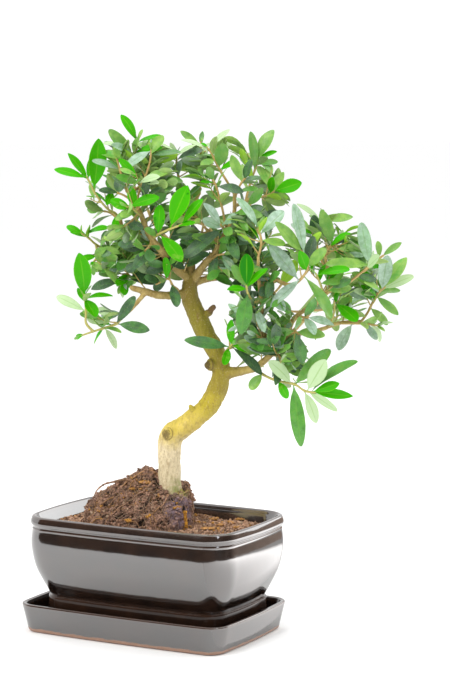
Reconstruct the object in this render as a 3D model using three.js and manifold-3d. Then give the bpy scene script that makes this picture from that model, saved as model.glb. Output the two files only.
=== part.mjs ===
// Olive bonsai in a glazed pot on its drip tray. Units are millimetres, +Z is up, X runs along the pot
// and -Y is the pot's front. The origin is the centre of the tray's flat underside.
import * as THREE from 'three';
import Module from 'manifold-3d';

const wasm = await Module();
wasm.setup();

// ---- Driving dimensions ----------------------------------------------------------------------------
const TRAY = {
  bottom: { length: 154, width: 98.7, corner: 11.5 },
  top: { length: 162.9, width: 105.6, corner: 13.4 },
  height: 19.75,
  wall: 3.4,
  floor: 5,
  rimRound: 1.5,
  footChamfer: 1.2,
};
const POT = {
  lip: { length: 160.7, width: 106.2, corner: 22 },
  base: { length: 137, width: 83, corner: 16 },
  crest: 81,
  lipDepth: 7.5,
  crestInset: 3,
  beadGroove: 1,
  footTop: 24.8,
  footBottom: 8.3,
  footStep: 1.6,
  wall: 5,
  floorTop: 15,
  shift: { x: 2.4, y: 1.1 },
};
const SIDE_BOW = 1.5;
const POT_FOOT = { length: 16, width: 12, inset: 9 };
const DRAIN = { spacing: 58, radius: 6 };
const DRAIN_MESH = { side: 22, thick: 1, holes: 2, bar: 2.6 };
const SEAT_GAP = 0.3;
const SOIL_GAP = 0.35;
const SOIL_LEVEL = 74;
const ROOT_BALL = { u: -6, v: 7, top: 113, underside: 48, cliffFoot: 60 };
const TREE_TURN = THREE.MathUtils.degToRad(28.3);
const BLADE_THICKNESS = 0.8;
const BLADE_GROW = 0.3;
const BLADE_ROOT_HALF = 0.55;
const STEM_RADIUS = { start: 1.1, end: 0.9 };

const RING = { cornerSteps: 4, sidePoints: 1 };
const TRUNK_SIDES = 9;
const BRANCH_SIDES = 5;
const STEM_SIDES = 4;
const ROOT_DEPTH = 0.2;
const JOIN_TOLERANCE = 0.08;

// ---- Materials -------------------------------------------------------------------------------------
const COLOURS = {
  tray_glaze: 0x15120f,
  pot_glaze: 0x14100e,
  mesh_plastic: 0x1d4f2f,
  potting_soil: 0x2b1d14,
  root_ball: 0x3a281b,
  olive_wood: 0x8a7a4c,
  olive_leaf: 0x5d9a3c,
};

// ---- The tree's own frame: u to the right and v away, as seen at its best side, z up ----------------
const turnCos = Math.cos(TREE_TURN);
const turnSin = Math.sin(TREE_TURN);

function inRow([u, v, z]) {
  return new THREE.Vector3(u * turnCos - v * turnSin, u * turnSin + v * turnCos, z);
}

// Trunk and branches, as [u, v, z, radius] along each centre line.
const WOOD = {
  trunk: [[11, 2, 86, 9.4], [11, 2, 98, 8.4], [11, 2, 112, 7.9], [11, 1, 126, 8], [13, 0, 136, 8.3],
    [20, -2, 142, 7.5], [29, -4, 149, 7], [38, -5, 157, 7], [44, -5, 168, 6.8], [47, -4, 178, 6.3],
    [46, -3, 188, 6], [42, -1, 197, 6.3], [36.5, 0, 206, 6.6], [32.5, 0, 215, 6.5], [29, 0, 223, 6.2],
    [26, 0, 230, 6], [25, 0, 238, 5.6], [26, 0, 245, 4.6], [26, 1, 250, 3.4]],
  leader: [[26, 0, 246, 3.7], [26, 2, 257, 3.1], [26, 4, 267, 2.6], [24, 6, 276, 2.3], [21, 8, 286, 1.9],
    [19, 9, 295, 1.6], [18, 8, 304, 1.3]],
  fork: [[27, 0, 243, 3.4], [36, -8, 256, 2.5], [43, -12, 264, 2.1], [46, -14, 270, 1.9],
    [52, -16, 280, 1.7], [56, -16, 291, 1.5], [56, -15, 303, 1.2]],
  fork_left: [[45, -14, 268, 1.6], [42, -17, 274, 1.4], [37, -20, 280, 1.2]],
  right_arm: [[45, -2, 179, 5.2], [54, -8, 181, 3.9], [63, -13, 183, 3], [71, -18, 186, 2.5],
    [80, -20, 194, 2.2], [90, -22, 208, 2], [97, -22, 220, 1.8], [109, -24, 229, 1.6],
    [118, -26, 237, 1.5], [126, -27, 241, 1.4], [134, -28, 245, 1.2]],
  right_fork: [[90, -22, 207, 1.8], [104, -14, 209, 1.6], [116, -9, 211, 1.5], [128, -7, 215, 1.4],
    [143, -5, 216, 1.2]],
  inner_rise: [[80, -20, 194, 1.8], [77, -24, 206, 1.6], [75, -28, 220, 1.5], [74, -32, 234, 1.4],
    [72, -34, 249, 1.3], [72, -35, 262, 1.2]],
  back_rise: [[121, -26, 238, 1.4], [120, -15, 249, 1.3], [118, -8, 260, 1.2]],
  cross_branch: [[27, 1, 242, 3.2], [39, 2, 245, 2.4], [48, 0, 246, 2.1], [57, -4, 249, 1.9],
    [67, -11, 251, 1.8], [75, -18, 249, 1.6], [84, -25, 246, 1.5], [92, -30, 243, 1.4], [97, -33, 244, 1.2]],
  left_low_arm: [[24, -1, 235, 3.7], [12, -8, 234, 2.9], [2, -12, 235, 2.6], [-4, -14, 237, 2.4],
    [-11, -15, 239, 2.1], [-14, -15, 240, 1.8]],
  left_low_twig: [[-4, -14, 237, 1.8], [-12, -18, 228, 1.5], [-18, -22, 222, 1.3], [-21, -23, 219, 1.2]],
  left_arm: [[25, 0, 245, 3.6], [12, -13, 257, 2.8], [6, -20, 266, 2.4], [0, -24, 274, 2.2],
    [-4, -24, 282, 1.9], [-8, -20, 292, 1.7], [-13, -18, 300, 1.4], [-17, -16, 306, 1.2]],
  left_out_arm: [[13, -13, 257, 2.2], [-2, -2, 250, 2], [-16, 5, 250, 1.8], [-28, 6, 255, 1.6],
    [-34, 6, 261, 1.4], [-36, 5, 266, 1.2]],
  left_out_rise: [[-26, 6, 254, 1.5], [-22, 9, 267, 1.3], [-21, 9, 276, 1.2], [-22, 7, 285, 1.1]],
  top_side: [[21, 8, 285, 1.6], [27, 12, 294, 1.4], [32, 12, 303, 1.2]],
  top_right_twig: [[56, -15, 295, 1.4], [65, -9, 299, 1.3], [71, -6, 301, 1.1]],
  back_top: [[26, 4, 266, 2.1], [34, 24, 273, 1.7], [46, 40, 281, 1.4], [59, 50, 288, 1.2]],
  back_left: [[26, 2, 256, 2.2], [15, 24, 265, 1.8], [2, 38, 278, 1.5], [-5, 44, 291, 1.2]],
  back_right: [[65, -10, 251, 1.7], [73, 14, 242, 1.5], [83, 34, 230, 1.4], [94, 45, 219, 1.2]],
  back_low: [[90, -22, 206, 1.7], [100, 0, 212, 1.5], [111, 24, 222, 1.3], [120, 40, 232, 1.2]],
};

// Healed cuts and short dead stubs on the trunk, as [u, v, z, radius] from inside the wood outward.
const KNOTS = [
  [[12, -2, 138, 4.4], [9.5, -8, 138.5, 3.9], [9.2, -8.7, 138.6, 3.1]],
  [[44, -4, 186, 4.6], [39, -7, 186, 4.2], [37.6, -8, 186, 2.8]],
  [[31, 0, 217, 3], [39, -2, 222, 2.4], [42, -2.6, 226, 1.9]],
  [[30, -4, 150, 2.6], [27, -9, 156, 1.9], [26, -10.5, 158, 1.1]],
];

// Roots that show where they run over the root ball, as [u, v] along its top.
const SURFACE_ROOTS = [
  [[1, -3], [-8, -9], [-20, -12], [-31, -15]],
  [[11, -9], [6, -18], [-3, -25]],
  [[19, -1], [21, -6], [18, -12]],
  [[5, 11], [-8, 16], [-20, 21]],
  [[1, 4], [-16, 3], [-28, -3], [-42, -2]],
];
const SURFACE_ROOT_RADIUS = 1.1;

// Each leafy spray: its twigs as [u, v, z] points (the first starts at the wood, the others start on the
// first), how many opposite leaf pairs the growing rule adds, their length, and its feature blades as
// [place, u, v, z, width], where the whole part of place picks the twig and the rest is the share along
// it, and u, v, z is the blade's tip.
const SPRAYS = [
  ['crest_left', [[[-13, -18, 299], [-12, -12, 313], [-13, -8, 328], [-10, -6, 339]]], 2, 16,
    [[0.73, -29, -12, 347, 8], [0.99, -21, -8, 357, 7], [0.77, -8, -18, 341, 8], [0.98, 8, 2, 342, 7]]],
  ['inner_left', [[[-11, -18, 297], [-8, -22, 306], [-4, -24, 315], [-1, -22, 325], [0, -20, 333]]], 1, 15,
    [[0.37, 5, -35, 311, 8], [0.48, 12, -28, 315, 7], [0.9, 8, -18, 343, 8], [0.99, -18, -28, 320, 8],
      [0.91, 20, -23, 332, 7]]],
  ['left_tall', [[[-17, -16, 306], [-21, -14, 318], [-24, -13, 329]]], 1, 14,
    [[0.61, -40, -20, 326, 7], [0.62, -33, -6, 330, 6], [0.9, -22, -21, 335, 6], [0.5, -22, -20, 305, 8]]],
  ['left_shoulder', [[[-14, -18, 301], [-20, -12, 303], [-27, -6, 305]]], 1, 13,
    [[0.7, -36, -13, 306, 5], [0.98, -31, -12, 296, 6], [0.99, -31, 0, 313, 5]]],
  ['left_wing', [[[-22, 7, 285], [-26, 3, 290], [-31, 0, 293], [-38, -4, 302], [-42, -6, 310],
    [-44, -7, 314]]], 0, 12,
    [[0.77, -36, -11, 341, 13], [0.97, -57, -10, 331, 7], [0.99, -67, -2, 320, 7], [0.98, -42, -15, 329, 5]]],
  ['left_brow', [[[-22, 8, 282], [-26, 12, 287], [-31, 15, 290], [-37, 16, 291]]], 2, 15,
    [[0.98, -46, 17, 292, 6], [0.37, -24, -2, 277, 6]]],
  ['left_mid', [[[-36, 5, 266], [-40, 3, 269], [-44, 0, 273], [-48, -3, 276]],
    [[-39, 4, 268], [-38, -1, 261], [-40, -5, 257]]], 1, 11,
    [[0.98, -59, 0, 281, 5], [0.88, -29, -10, 280, 8], [1.6, -52, -4, 257, 5], [1.98, -44, 0, 247, 6]]],
  ['left_low', [[[-21, -23, 219], [-24, -24, 216], [-30, -26, 214], [-40, -28, 211], [-46, -29, 209]],
    [[-39, -28, 211], [-44, -30, 217], [-44, -31, 225], [-45, -32, 236]]], 2, 12,
    [[0.15, -11, -27, 235, 7], [0.1, 1, -24, 229, 7], [0.14, 1, -27, 216, 9], [0.25, -43, -20, 219, 6],
      [0.45, -24, -23, 199, 6], [0.5, -20, -36, 211, 5], [1.98, -48, -37, 265, 13], [1.93, -37, -40, 222, 10],
      [1.9, -26, -26, 235, 7], [1.6, -64, -27, 235, 7]]],
  ['left_under', [[[-17, 5, 250], [-18, 1, 247], [-20, -2, 243]]], 1, 13,
    [[0.8, -42, -7, 238, 8], [0.56, 9, -11, 244, 10], [0.98, -19, -6, 234, 6]]],
  ['left_over', [[[-14, 4, 250], [-13, -1, 254], [-13, -5, 257]]], 1, 13,
    [[0.5, 7, -6, 254, 7], [0.74, 0, -9, 261, 6], [0.98, -22, -8, 264, 6]]],
  ['mid_left', [[[0, -24, 273], [-1, -30, 269], [-4, -33, 266]]], 2, 14,
    [[0.7, 0, -39, 259, 8], [0.95, -12, -37, 271, 6]]],
  ['low_centre', [[[17, -5, 234], [14, -11, 241], [11, -15, 246], [4, -18, 243]]], 1, 14,
    [[0.68, 9, -22, 261, 6], [0.39, 17, -19, 227, 8], [0.6, 22, -22, 259, 8], [0.95, -5, -22, 248, 6]]],
  ['front_twig', [[[0, -25, 274], [5, -31, 277], [11, -35, 280], [16, -37, 282], [21, -38, 284]]], 0, 13,
    [[0.64, 25, -41, 310, 13], [0.99, 35, -41, 301, 7], [0.85, 31, -45, 288, 7], [0.27, 21, -40, 259, 11],
      [0.24, 6, -33, 297, 8], [0.17, -4, -36, 287, 7]]],
  ['broad_bright', [[[-7, -22, 289], [-11, -28, 293], [-15, -31, 295]]], 2, 14,
    [[0.98, 6, -37, 302, 8], [0.6, -20, -38, 289, 7]]],
  ['mid_top', [[[18, 8, 303], [17, 6, 319], [16, 5, 330]]], 2, 13,
    [[0.46, 25, -1, 329, 7], [0.5, 10, 0, 323, 5], [0.97, 12, 3, 338, 4]]],
  ['top_spire', [[[32, 12, 303], [33, 10, 315], [33, 9, 325], [33, 8, 337]]], 2, 12,
    [[0.59, 26, 5, 329, 4], [0.48, 25, 2, 323, 4], [0.53, 41, 3, 329, 6], [0.96, 19, 12, 346, 5]]],
  ['top_arch', [[[56, -15, 302], [51, -13, 312], [46, -10, 320], [41, -8, 330], [38, -7, 334]]], 2, 14,
    [[0.97, 20, -12, 340, 6], [0.98, 53, -3, 347, 5], [0.58, 48, -14, 338, 10], [0.54, 58, -18, 326, 5],
      [0.75, 33, -14, 323, 6]]],
  ['mid_bright', [[[52, -16, 280], [48, -19, 293], [44, -21, 308], [41, -22, 314]]], 2, 15,
    [[0.96, 38, -26, 322, 6], [0.92, 33, -26, 312, 5], [0.83, 62, -25, 305, 7]]],
  ['crown_front', [[[56, -16, 295], [57, -20, 303], [60, -22, 310], [63, -22, 314]]], 2, 14,
    [[0.85, 54, -26, 330, 7], [0.98, 68, -25, 327, 8], [0.89, 74, -17, 315, 6]]],
  ['top_right', [[[65, -9, 299], [67, -1, 311], [70, 2, 319], [72, 3, 327]]], 2, 14,
    [[0.72, 65, 4, 344, 7], [0.95, 82, 0, 346, 10], [0.97, 84, -3, 332, 5], [0.86, 86, 8, 325, 5]]],
  ['right_top', [[[71, -6, 301], [78, -4, 302], [83, -3, 305]]], 2, 13,
    [[0.97, 102, -6, 311, 10], [0.8, 82, -13, 315, 6], [0.6, 90, 3, 318, 7]]],
  ['mid_dark', [[[56, -16, 290], [62, -21, 294], [66, -25, 296]]], 2, 15,
    [[0.94, 79, -29, 288, 8]]],
  ['fork_tip', [[[37, -20, 280], [33, -23, 285], [30, -24, 289]]], 2, 15,
    [[0.9, 25, -28, 300, 7]]],
  ['fork_mid', [[[50, -15, 276], [49, -22, 280], [47, -28, 283]]], 1, 15,
    [[0.94, 35, -32, 298, 8], [0.96, 61, -33, 291, 8], [0.6, 22, -28, 261, 10], [0.5, 59, -29, 260, 8]]],
  ['fork_low', [[[40, -10, 261], [44, -17, 262], [48, -21, 263]]], 1, 13,
    [[0.66, 40, -21, 247, 7], [0.95, 55, -26, 252, 7]]],
  ['silver_pair', [[[72, -35, 262], [74, -37, 272], [72, -38, 281]]], 2, 15,
    [[0.98, 57, -44, 302, 9], [0.78, 89, -40, 293, 10], [0.6, 90, -40, 271, 6]]],
  ['bright_trio', [[[74, -32, 233], [69, -38, 232], [65, -42, 238], [64, -43, 243]]], 0, 12,
    [[0.98, 64, -47, 265, 10], [0.97, 53, -49, 259, 8], [0.96, 78, -46, 255, 6], [0.9, 51, -48, 241, 6],
      [0.76, 60, -48, 211, 11]]],
  ['heart_left', [[[84, -25, 246], [81, -31, 241], [80, -34, 236]]], 2, 14,
    [[0.5, 71, -38, 233, 9], [0.85, 90, -37, 226, 7]]],
  ['right_heart', [[[97, -33, 244], [102, -36, 249], [105, -38, 255], [104, -39, 261], [101, -39, 266]]],
    1, 14,
    [[0.97, 83, -45, 286, 9], [0.89, 95, -42, 298, 9], [0.45, 99, -47, 267, 8], [0.61, 109, -32, 276, 8],
      [0.56, 117, -43, 268, 8], [0.3, 121, -42, 221, 10], [0.12, 79, -36, 271, 10], [0.2, 80, -42, 229, 8]]],
  ['two_tone', [[[117, -26, 236], [114, -33, 243], [111, -37, 250]]], 1, 13,
    [[0.98, 133, -41, 254, 9], [0.57, 127, -36, 245, 6]]],
  ['right_spur', [[[134, -28, 245], [139, -28, 249], [145, -28, 254], [150, -26, 258], [156, -24, 262]]],
    1, 13,
    [[0.6, 141, -30, 285, 9], [0.51, 153, -38, 263, 8], [0.62, 117, -35, 257, 9], [0.2, 152, -24, 246, 6],
      [0.98, 169, -21, 271, 5], [0.88, 153, -21, 272, 5]]],
  ['upper_right', [[[118, -8, 260], [121, -9, 267], [127, -10, 271]]], 1, 14,
    [[0.5, 135, -15, 277, 7], [0.69, 115, -12, 293, 9], [0.97, 139, -6, 268, 6]]],
  ['upper_back', [[[119, -12, 254], [113, -3, 265], [113, 3, 276], [116, 6, 285]]], 2, 15,
    [[0.58, 110, -6, 289, 8], [0.98, 138, 11, 287, 7], [0.97, 99, 9, 296, 5]]],
  ['right_tip', [[[143, -5, 216], [148, -6, 223], [153, -8, 234], [158, -9, 239]]], 1, 13,
    [[0.95, 160, -15, 262, 10], [0.98, 174, -6, 260, 9], [0.99, 183, -12, 247, 8], [0.86, 170, -2, 237, 5],
      [0.73, 168, -12, 221, 7], [0.4, 161, -10, 214, 6], [0.62, 150, -14, 247, 6]]],
  ['right_low', [[[130, -7, 216], [137, -10, 215], [145, -12, 215], [153, -14, 214]]], 2, 12,
    [[0.66, 154, -18, 205, 6], [0.3, 127, -15, 197, 9], [0.98, 164, -16, 216, 4]]],
  ['heart_leaf', [[[122, -8, 213], [124, -14, 223], [124, -18, 230]]], 1, 13,
    [[0.98, 139, -28, 218, 13], [0.7, 113, -20, 230, 6]]],
  ['arm_low', [[[99, -22, 222], [102, -28, 221], [105, -32, 221]]], 1, 13,
    [[0.95, 123, -35, 216, 7]]],
  ['node_low', [[[92, -22, 211], [96, -28, 212], [98, -32, 211]]], 1, 14,
    [[0.9, 117, -34, 209, 8], [0.68, 81, -34, 210, 7], [0.89, 102, -37, 190, 9]]],
  ['mass_left', [[[75, -28, 220], [72, -34, 224], [69, -37, 229]]], 1, 14,
    [[0.88, 76, -42, 212, 7]]],
  ['mass_low', [[[77, -24, 206], [75, -30, 207], [72, -33, 208]]], 1, 13,
    [[0.63, 90, -38, 201, 8]]],
  ['trunk_spray', [[[46, -3, 190], [50, -12, 196], [54, -20, 201]]], 0, 13,
    [[0.83, 22, -24, 205, 9], [0.98, 54, -24, 219, 6], [0.97, 68, -24, 197, 6], [0.9, 79, -23, 184, 9],
      [0.7, 49, -24, 188, 6], [0.86, 65, -12, 209, 5]]],
  ['low_dark', [[[82, -20, 196], [85, -27, 196], [87, -31, 194]]], 1, 13,
    [[0.8, 66, -34, 201, 8]]],
  ['low_right', [[[71, -18, 186], [83, -26, 178], [96, -32, 176], [103, -36, 172], [109, -38, 171]]], 0, 12,
    [[0.1, 67, -24, 171, 8], [0.61, 79, -36, 192, 10], [0.4, 93, -36, 167, 7], [0.65, 101, -38, 134, 10],
      [0.68, 121, -28, 199, 10], [0.9, 117, -44, 194, 12], [0.97, 139, -36, 192, 10],
      [0.98, 128, -43, 182, 8], [0.99, 136, -35, 168, 7], [0.85, 108, -31, 145, 8],
      [0.92, 125, -44, 159, 6]]],
  ['left_inner', [[[-8, -20, 290], [-13, -25, 286], [-18, -28, 282]]], 2, 14,
    [[0.82, -5, -32, 281, 7]]],
  ['left_fill', [[[-21, 9, 273], [-16, 16, 272], [-11, 21, 272]]], 2, 14, []],
  ['back_top_low', [[[34, 24, 273], [35, 30, 283], [36, 34, 294]]], 2, 18, []],
  ['back_top_end', [[[59, 50, 288], [65, 52, 294], [69, 52, 303]]], 2, 18, []],
  ['back_left_end', [[[-5, 44, 291], [-8, 45, 300], [-9, 44, 310]]], 2, 18, []],
  ['back_left_low', [[[2, 38, 278], [-3, 44, 273], [-10, 48, 270]]], 2, 15, []],
  ['back_right_end', [[[94, 45, 219], [102, 48, 218], [109, 49, 220]]], 2, 18, []],
  ['back_right_high', [[[83, 34, 230], [89, 42, 237], [94, 47, 246]]], 2, 16, []],
  ['back_low_end', [[[120, 40, 232], [124, 42, 241], [126, 42, 251]]], 2, 18, []],
  ['back_low_side', [[[111, 24, 222], [119, 30, 221], [128, 34, 223]]], 2, 15, []],
];

// ---- Closed solids ---------------------------------------------------------------------------------
function solidFrom(points, faces) {
  const vertProperties = new Float32Array(points.flatMap((p) => [p.x, p.y, p.z]));
  const triVerts = new Uint32Array(faces.flat());
  return new wasm.Manifold(new wasm.Mesh({ numProp: 3, vertProperties, triVerts }));
}

// Rings of the same count, skinned from the first to the last and capped with a fan at both ends.
function loft(rings) {
  const count = rings[0].length;
  const points = rings.flat();
  const faces = [];
  for (let ring = 0; ring + 1 < rings.length; ring += 1) {
    for (let i = 0; i < count; i += 1) {
      const a = ring * count + i;
      const b = ring * count + ((i + 1) % count);
      faces.push([a, b, b + count], [a, b + count, a + count]);
    }
  }
  for (const [ring, flip] of [[0, true], [rings.length - 1, false]]) {
    const hub = points.length;
    const middle = new THREE.Vector3();
    rings[ring].forEach((p) => middle.addScaledVector(p, 1 / count));
    points.push(middle);
    for (let i = 0; i < count; i += 1) {
      const a = ring * count + i;
      const b = ring * count + ((i + 1) % count);
      faces.push(flip ? [hub, b, a] : [hub, a, b]);
    }
  }
  return solidFrom(points, faces);
}

// Joining leaves needless points along flat sides and edges; this drops them, within the tolerance.
function tidied(solid) {
  return solid.asOriginal().simplify(JOIN_TOLERANCE);
}

function meshFrom(name, solid, colour, roughness) {
  const { vertProperties, triVerts, numProp } = tidied(solid).getMesh();
  const positions = [];
  for (let i = 0; i < vertProperties.length; i += numProp) {
    positions.push(vertProperties[i], vertProperties[i + 1], vertProperties[i + 2]);
  }
  const geometry = new THREE.BufferGeometry();
  geometry.setAttribute('position', new THREE.Float32BufferAttribute(positions, 3));
  geometry.setIndex(Array.from(triVerts));
  const material = new THREE.MeshStandardMaterial({ color: COLOURS[colour], roughness, name: colour });
  const mesh = new THREE.Mesh(geometry, material);
  mesh.name = name;
  return mesh;
}

// The same draw of numbers from 0 to 1 for the same seed (mulberry32).
function seeded(seed) {
  let state = seed >>> 0;
  return () => {
    state = (state + 0x6d2b79f5) >>> 0;
    let t = state;
    t = Math.imul(t ^ (t >>> 15), t | 1);
    t = (t ^ (t + Math.imul(t ^ (t >>> 7), t | 61))) >>> 0;
    return ((t ^ (t >>> 14)) >>> 0) / 4294967296;
  };
}

// ---- Rounded rectangles for pot and tray -----------------------------------------------------------
function roundedRing({ length, width, corner }, z, shift = { x: 0, y: 0 }) {
  const halfX = length / 2;
  const halfY = width / 2;
  const corners = [[1, 1, 0], [-1, 1, 90], [-1, -1, 180], [1, -1, 270]];
  const ring = [];
  corners.forEach(([sx, sy, start], index) => {
    const cx = sx * (halfX - corner);
    const cy = sy * (halfY - corner);
    for (let i = 0; i <= RING.cornerSteps; i += 1) {
      const angle = THREE.MathUtils.degToRad(start + (90 * i) / RING.cornerSteps);
      ring.push(new THREE.Vector3(cx + corner * Math.cos(angle), cy + corner * Math.sin(angle), z));
    }
    const [nx, ny] = corners[(index + 1) % 4];
    const next = index % 2 === 0
      ? new THREE.Vector3(nx * (halfX - corner), ny * halfY, z)
      : new THREE.Vector3(nx * halfX, ny * (halfY - corner), z);
    const last = ring[ring.length - 1];
    const outward = index % 2 === 0 ? new THREE.Vector3(0, sy, 0) : new THREE.Vector3(sx, 0, 0);
    for (let i = 1; i <= RING.sidePoints; i += 1) {
      const share = i / (RING.sidePoints + 1);
      ring.push(last.clone().lerp(next, share).addScaledVector(outward, SIDE_BOW * 4 * share * (1 - share)));
    }
  });
  ring.forEach((p) => p.add(new THREE.Vector3(shift.x, shift.y, 0)));
  return ring;
}

function inset({ length, width, corner }, by) {
  return { length: length - 2 * by, width: width - 2 * by, corner: Math.max(corner - by, 2) };
}

function between(low, high, share) {
  const mix = (key) => low[key] + (high[key] - low[key]) * share;
  return { length: mix('length'), width: mix('width'), corner: mix('corner') };
}

function makeTray() {
  const { bottom, top, height, wall, floor, rimRound, footChamfer } = TRAY;
  const at = (z) => between(bottom, top, z / height);
  const rings = [
    roundedRing(inset(at(0), footChamfer), 0),
    roundedRing(at(footChamfer), footChamfer),
    roundedRing(at(height * 0.55), height * 0.55),
    roundedRing(at(height - rimRound), height - rimRound),
    roundedRing(inset(top, rimRound * 0.35), height - rimRound * 0.3),
    roundedRing(inset(top, rimRound), height),
    roundedRing(inset(top, wall - rimRound * 0.4), height - rimRound * 0.3),
    roundedRing(inset(at(height - rimRound), wall), height - rimRound),
    roundedRing(inset(at(floor + 3), wall), floor + 3),
    roundedRing(inset(at(floor), wall + 2.5), floor),
  ];
  return loft(rings);
}

const potProfile = (() => {
  const { lip, base, crest, lipDepth, crestInset, beadGroove, footTop, footBottom, footStep } = POT;
  const groove = crest - lipDepth;
  const top = inset(lip, 0.2);
  const shoulder = groove - 13;
  const climb = (z) => (z - footTop) / (shoulder - footTop);
  const body = (z) => between(base, top, Math.sin((Math.PI / 2) * climb(z)));
  return [
    [inset(base, 2), footBottom],
    [inset(base, -footStep), footTop - 4],
    [inset(base, -footStep), footTop - 1],
    [inset(base, 0), footTop],
    [body(footTop + 12), footTop + 12],
    [body(shoulder - 14), shoulder - 14],
    [top, shoulder],
    [inset(top, 0.8), groove - 3],
    [inset(lip, 0.5 + beadGroove), groove],
    [top, groove + 1.8],
    [lip, groove + 3.6],
    [inset(lip, 0.8), crest - 1.5],
    [inset(lip, crestInset), crest],
    [inset(lip, crestInset + 3), crest - 1.8],
  ];
})();

// The pot's inner surface at a height, with room left for what fills it.
function potInside(z, gap) {
  const { lip, base, wall, footTop, crest } = POT;
  const share = Math.min(Math.max((z - footTop) / (crest - footTop), 0), 1);
  return inset(between(base, lip, Math.pow(share, 0.8)), wall + 1.6 + gap);
}

function boxSolid(length, width, low, high, x, y) {
  const geometry = [low, high].map((z) => [[-1, -1], [1, -1], [1, 1], [-1, 1]].map(
    ([sx, sy]) => new THREE.Vector3(x + (sx * length) / 2, y + (sy * width) / 2, z),
  ));
  return loft(geometry);
}

function roundPost(radius, low, high, x, y, sides) {
  const rings = [low, high].map((z) => Array.from({ length: sides }, (_, i) => {
    const angle = (2 * Math.PI * i) / sides;
    return new THREE.Vector3(x + radius * Math.cos(angle), y + radius * Math.sin(angle), z);
  }));
  return loft(rings);
}

const drainCentres = [-1, 1].map((side) => [POT.shift.x + (side * DRAIN.spacing) / 2, POT.shift.y]);

function makePot() {
  const outer = potProfile.map(([shape, z]) => roundedRing(shape, z, POT.shift));
  const inner = [POT.crest - 11, 48, POT.footTop + 4].map(
    (z) => roundedRing(potInside(z, 0), z, POT.shift),
  );
  inner.push(roundedRing(inset(potInside(POT.floorTop, 0), 2), POT.floorTop, POT.shift));
  let pot = loft([...outer, ...inner]);
  for (const sx of [-1, 1]) {
    for (const sy of [-1, 1]) {
      const x = POT.shift.x + sx * (POT.base.length / 2 - POT_FOOT.inset - POT_FOOT.length / 2);
      const y = POT.shift.y + sy * (POT.base.width / 2 - POT_FOOT.inset - POT_FOOT.width / 2);
      const low = TRAY.floor + SEAT_GAP;
      pot = pot.add(boxSolid(POT_FOOT.length, POT_FOOT.width, low, POT.footBottom + 2, x, y));
    }
  }
  for (const [x, y] of drainCentres) {
    pot = pot.subtract(roundPost(DRAIN.radius, 0, POT.floorTop + 5, x, y, 16));
  }
  return pot;
}

function makeDrainMesh([x, y]) {
  const { side, thick, holes, bar } = DRAIN_MESH;
  const low = POT.floorTop + SEAT_GAP;
  let sheet = boxSolid(side, side, low, low + thick, x, y);
  const pitch = (side - bar) / holes;
  for (let i = 0; i < holes; i += 1) {
    for (let j = 0; j < holes; j += 1) {
      const cx = x - side / 2 + bar + pitch * i + (pitch - bar) / 2;
      const cy = y - side / 2 + bar + pitch * j + (pitch - bar) / 2;
      sheet = sheet.subtract(boxSolid(pitch - bar, pitch - bar, low - 1, low + thick + 1, cx, cy));
    }
  }
  return sheet;
}

// ---- Root ball and soil ----------------------------------------------------------------------------
const ROOT_STEPS = 20;

// How far the root ball reaches from its middle in a direction, and how far its top falls on the way.
function rootReach(angle) {
  const right = Math.max(Math.cos(angle), 0);
  const left = Math.max(-Math.cos(angle), 0);
  const front = Math.max(-Math.sin(angle), 0);
  return 31 + 3 * right ** 2 + 13 * left ** 2.5 + 9 * front ** 2;
}

function rootFall(angle) {
  const front = Math.max(-Math.sin(angle), 0);
  return 20.5 - 6.5 * Math.cos(angle) + 20 * front + 2 * Math.sin(2 * angle + 0.6);
}

function rootTop(u, v) {
  const angle = Math.atan2(v - ROOT_BALL.v, u - ROOT_BALL.u);
  const share = Math.hypot(u - ROOT_BALL.u, v - ROOT_BALL.v) / rootReach(angle);
  return ROOT_BALL.top - rootFall(angle) * share ** 1.05;
}

function rootBallSolid(grow) {
  const lump = seeded(17);
  const rises = Array.from({ length: ROOT_STEPS * 6 }, () => lump() - 0.5);
  const shares = [0.27, 0.5, 0.72, 0.88, 0.96, 1];
  const rings = shares.map((share, row) => Array.from({ length: ROOT_STEPS }, (_, i) => {
    const angle = (2 * Math.PI * i) / ROOT_STEPS;
    const rough = rises[row * ROOT_STEPS + i];
    const reach = rootReach(angle) * share + grow + (row > 0 ? rough * 2.2 : 0);
    const slope = ROOT_BALL.top - rootFall(angle) * share ** 1.05 + rough * 2.4;
    const heights = [slope, slope, slope, slope, slope - 5, ROOT_BALL.cliffFoot + 8];
    const u = ROOT_BALL.u + reach * Math.cos(angle);
    const v = ROOT_BALL.v + reach * Math.sin(angle);
    return inRow([u, v, heights[row] + grow]);
  }));
  rings.push(rings[rings.length - 1].map((p) => {
    const middle = inRow([ROOT_BALL.u, ROOT_BALL.v, 0]);
    const low = middle.lerp(p, 0.8);
    low.z = ROOT_BALL.underside - grow;
    return low;
  }));
  return loft(rings.reverse());
}

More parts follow.
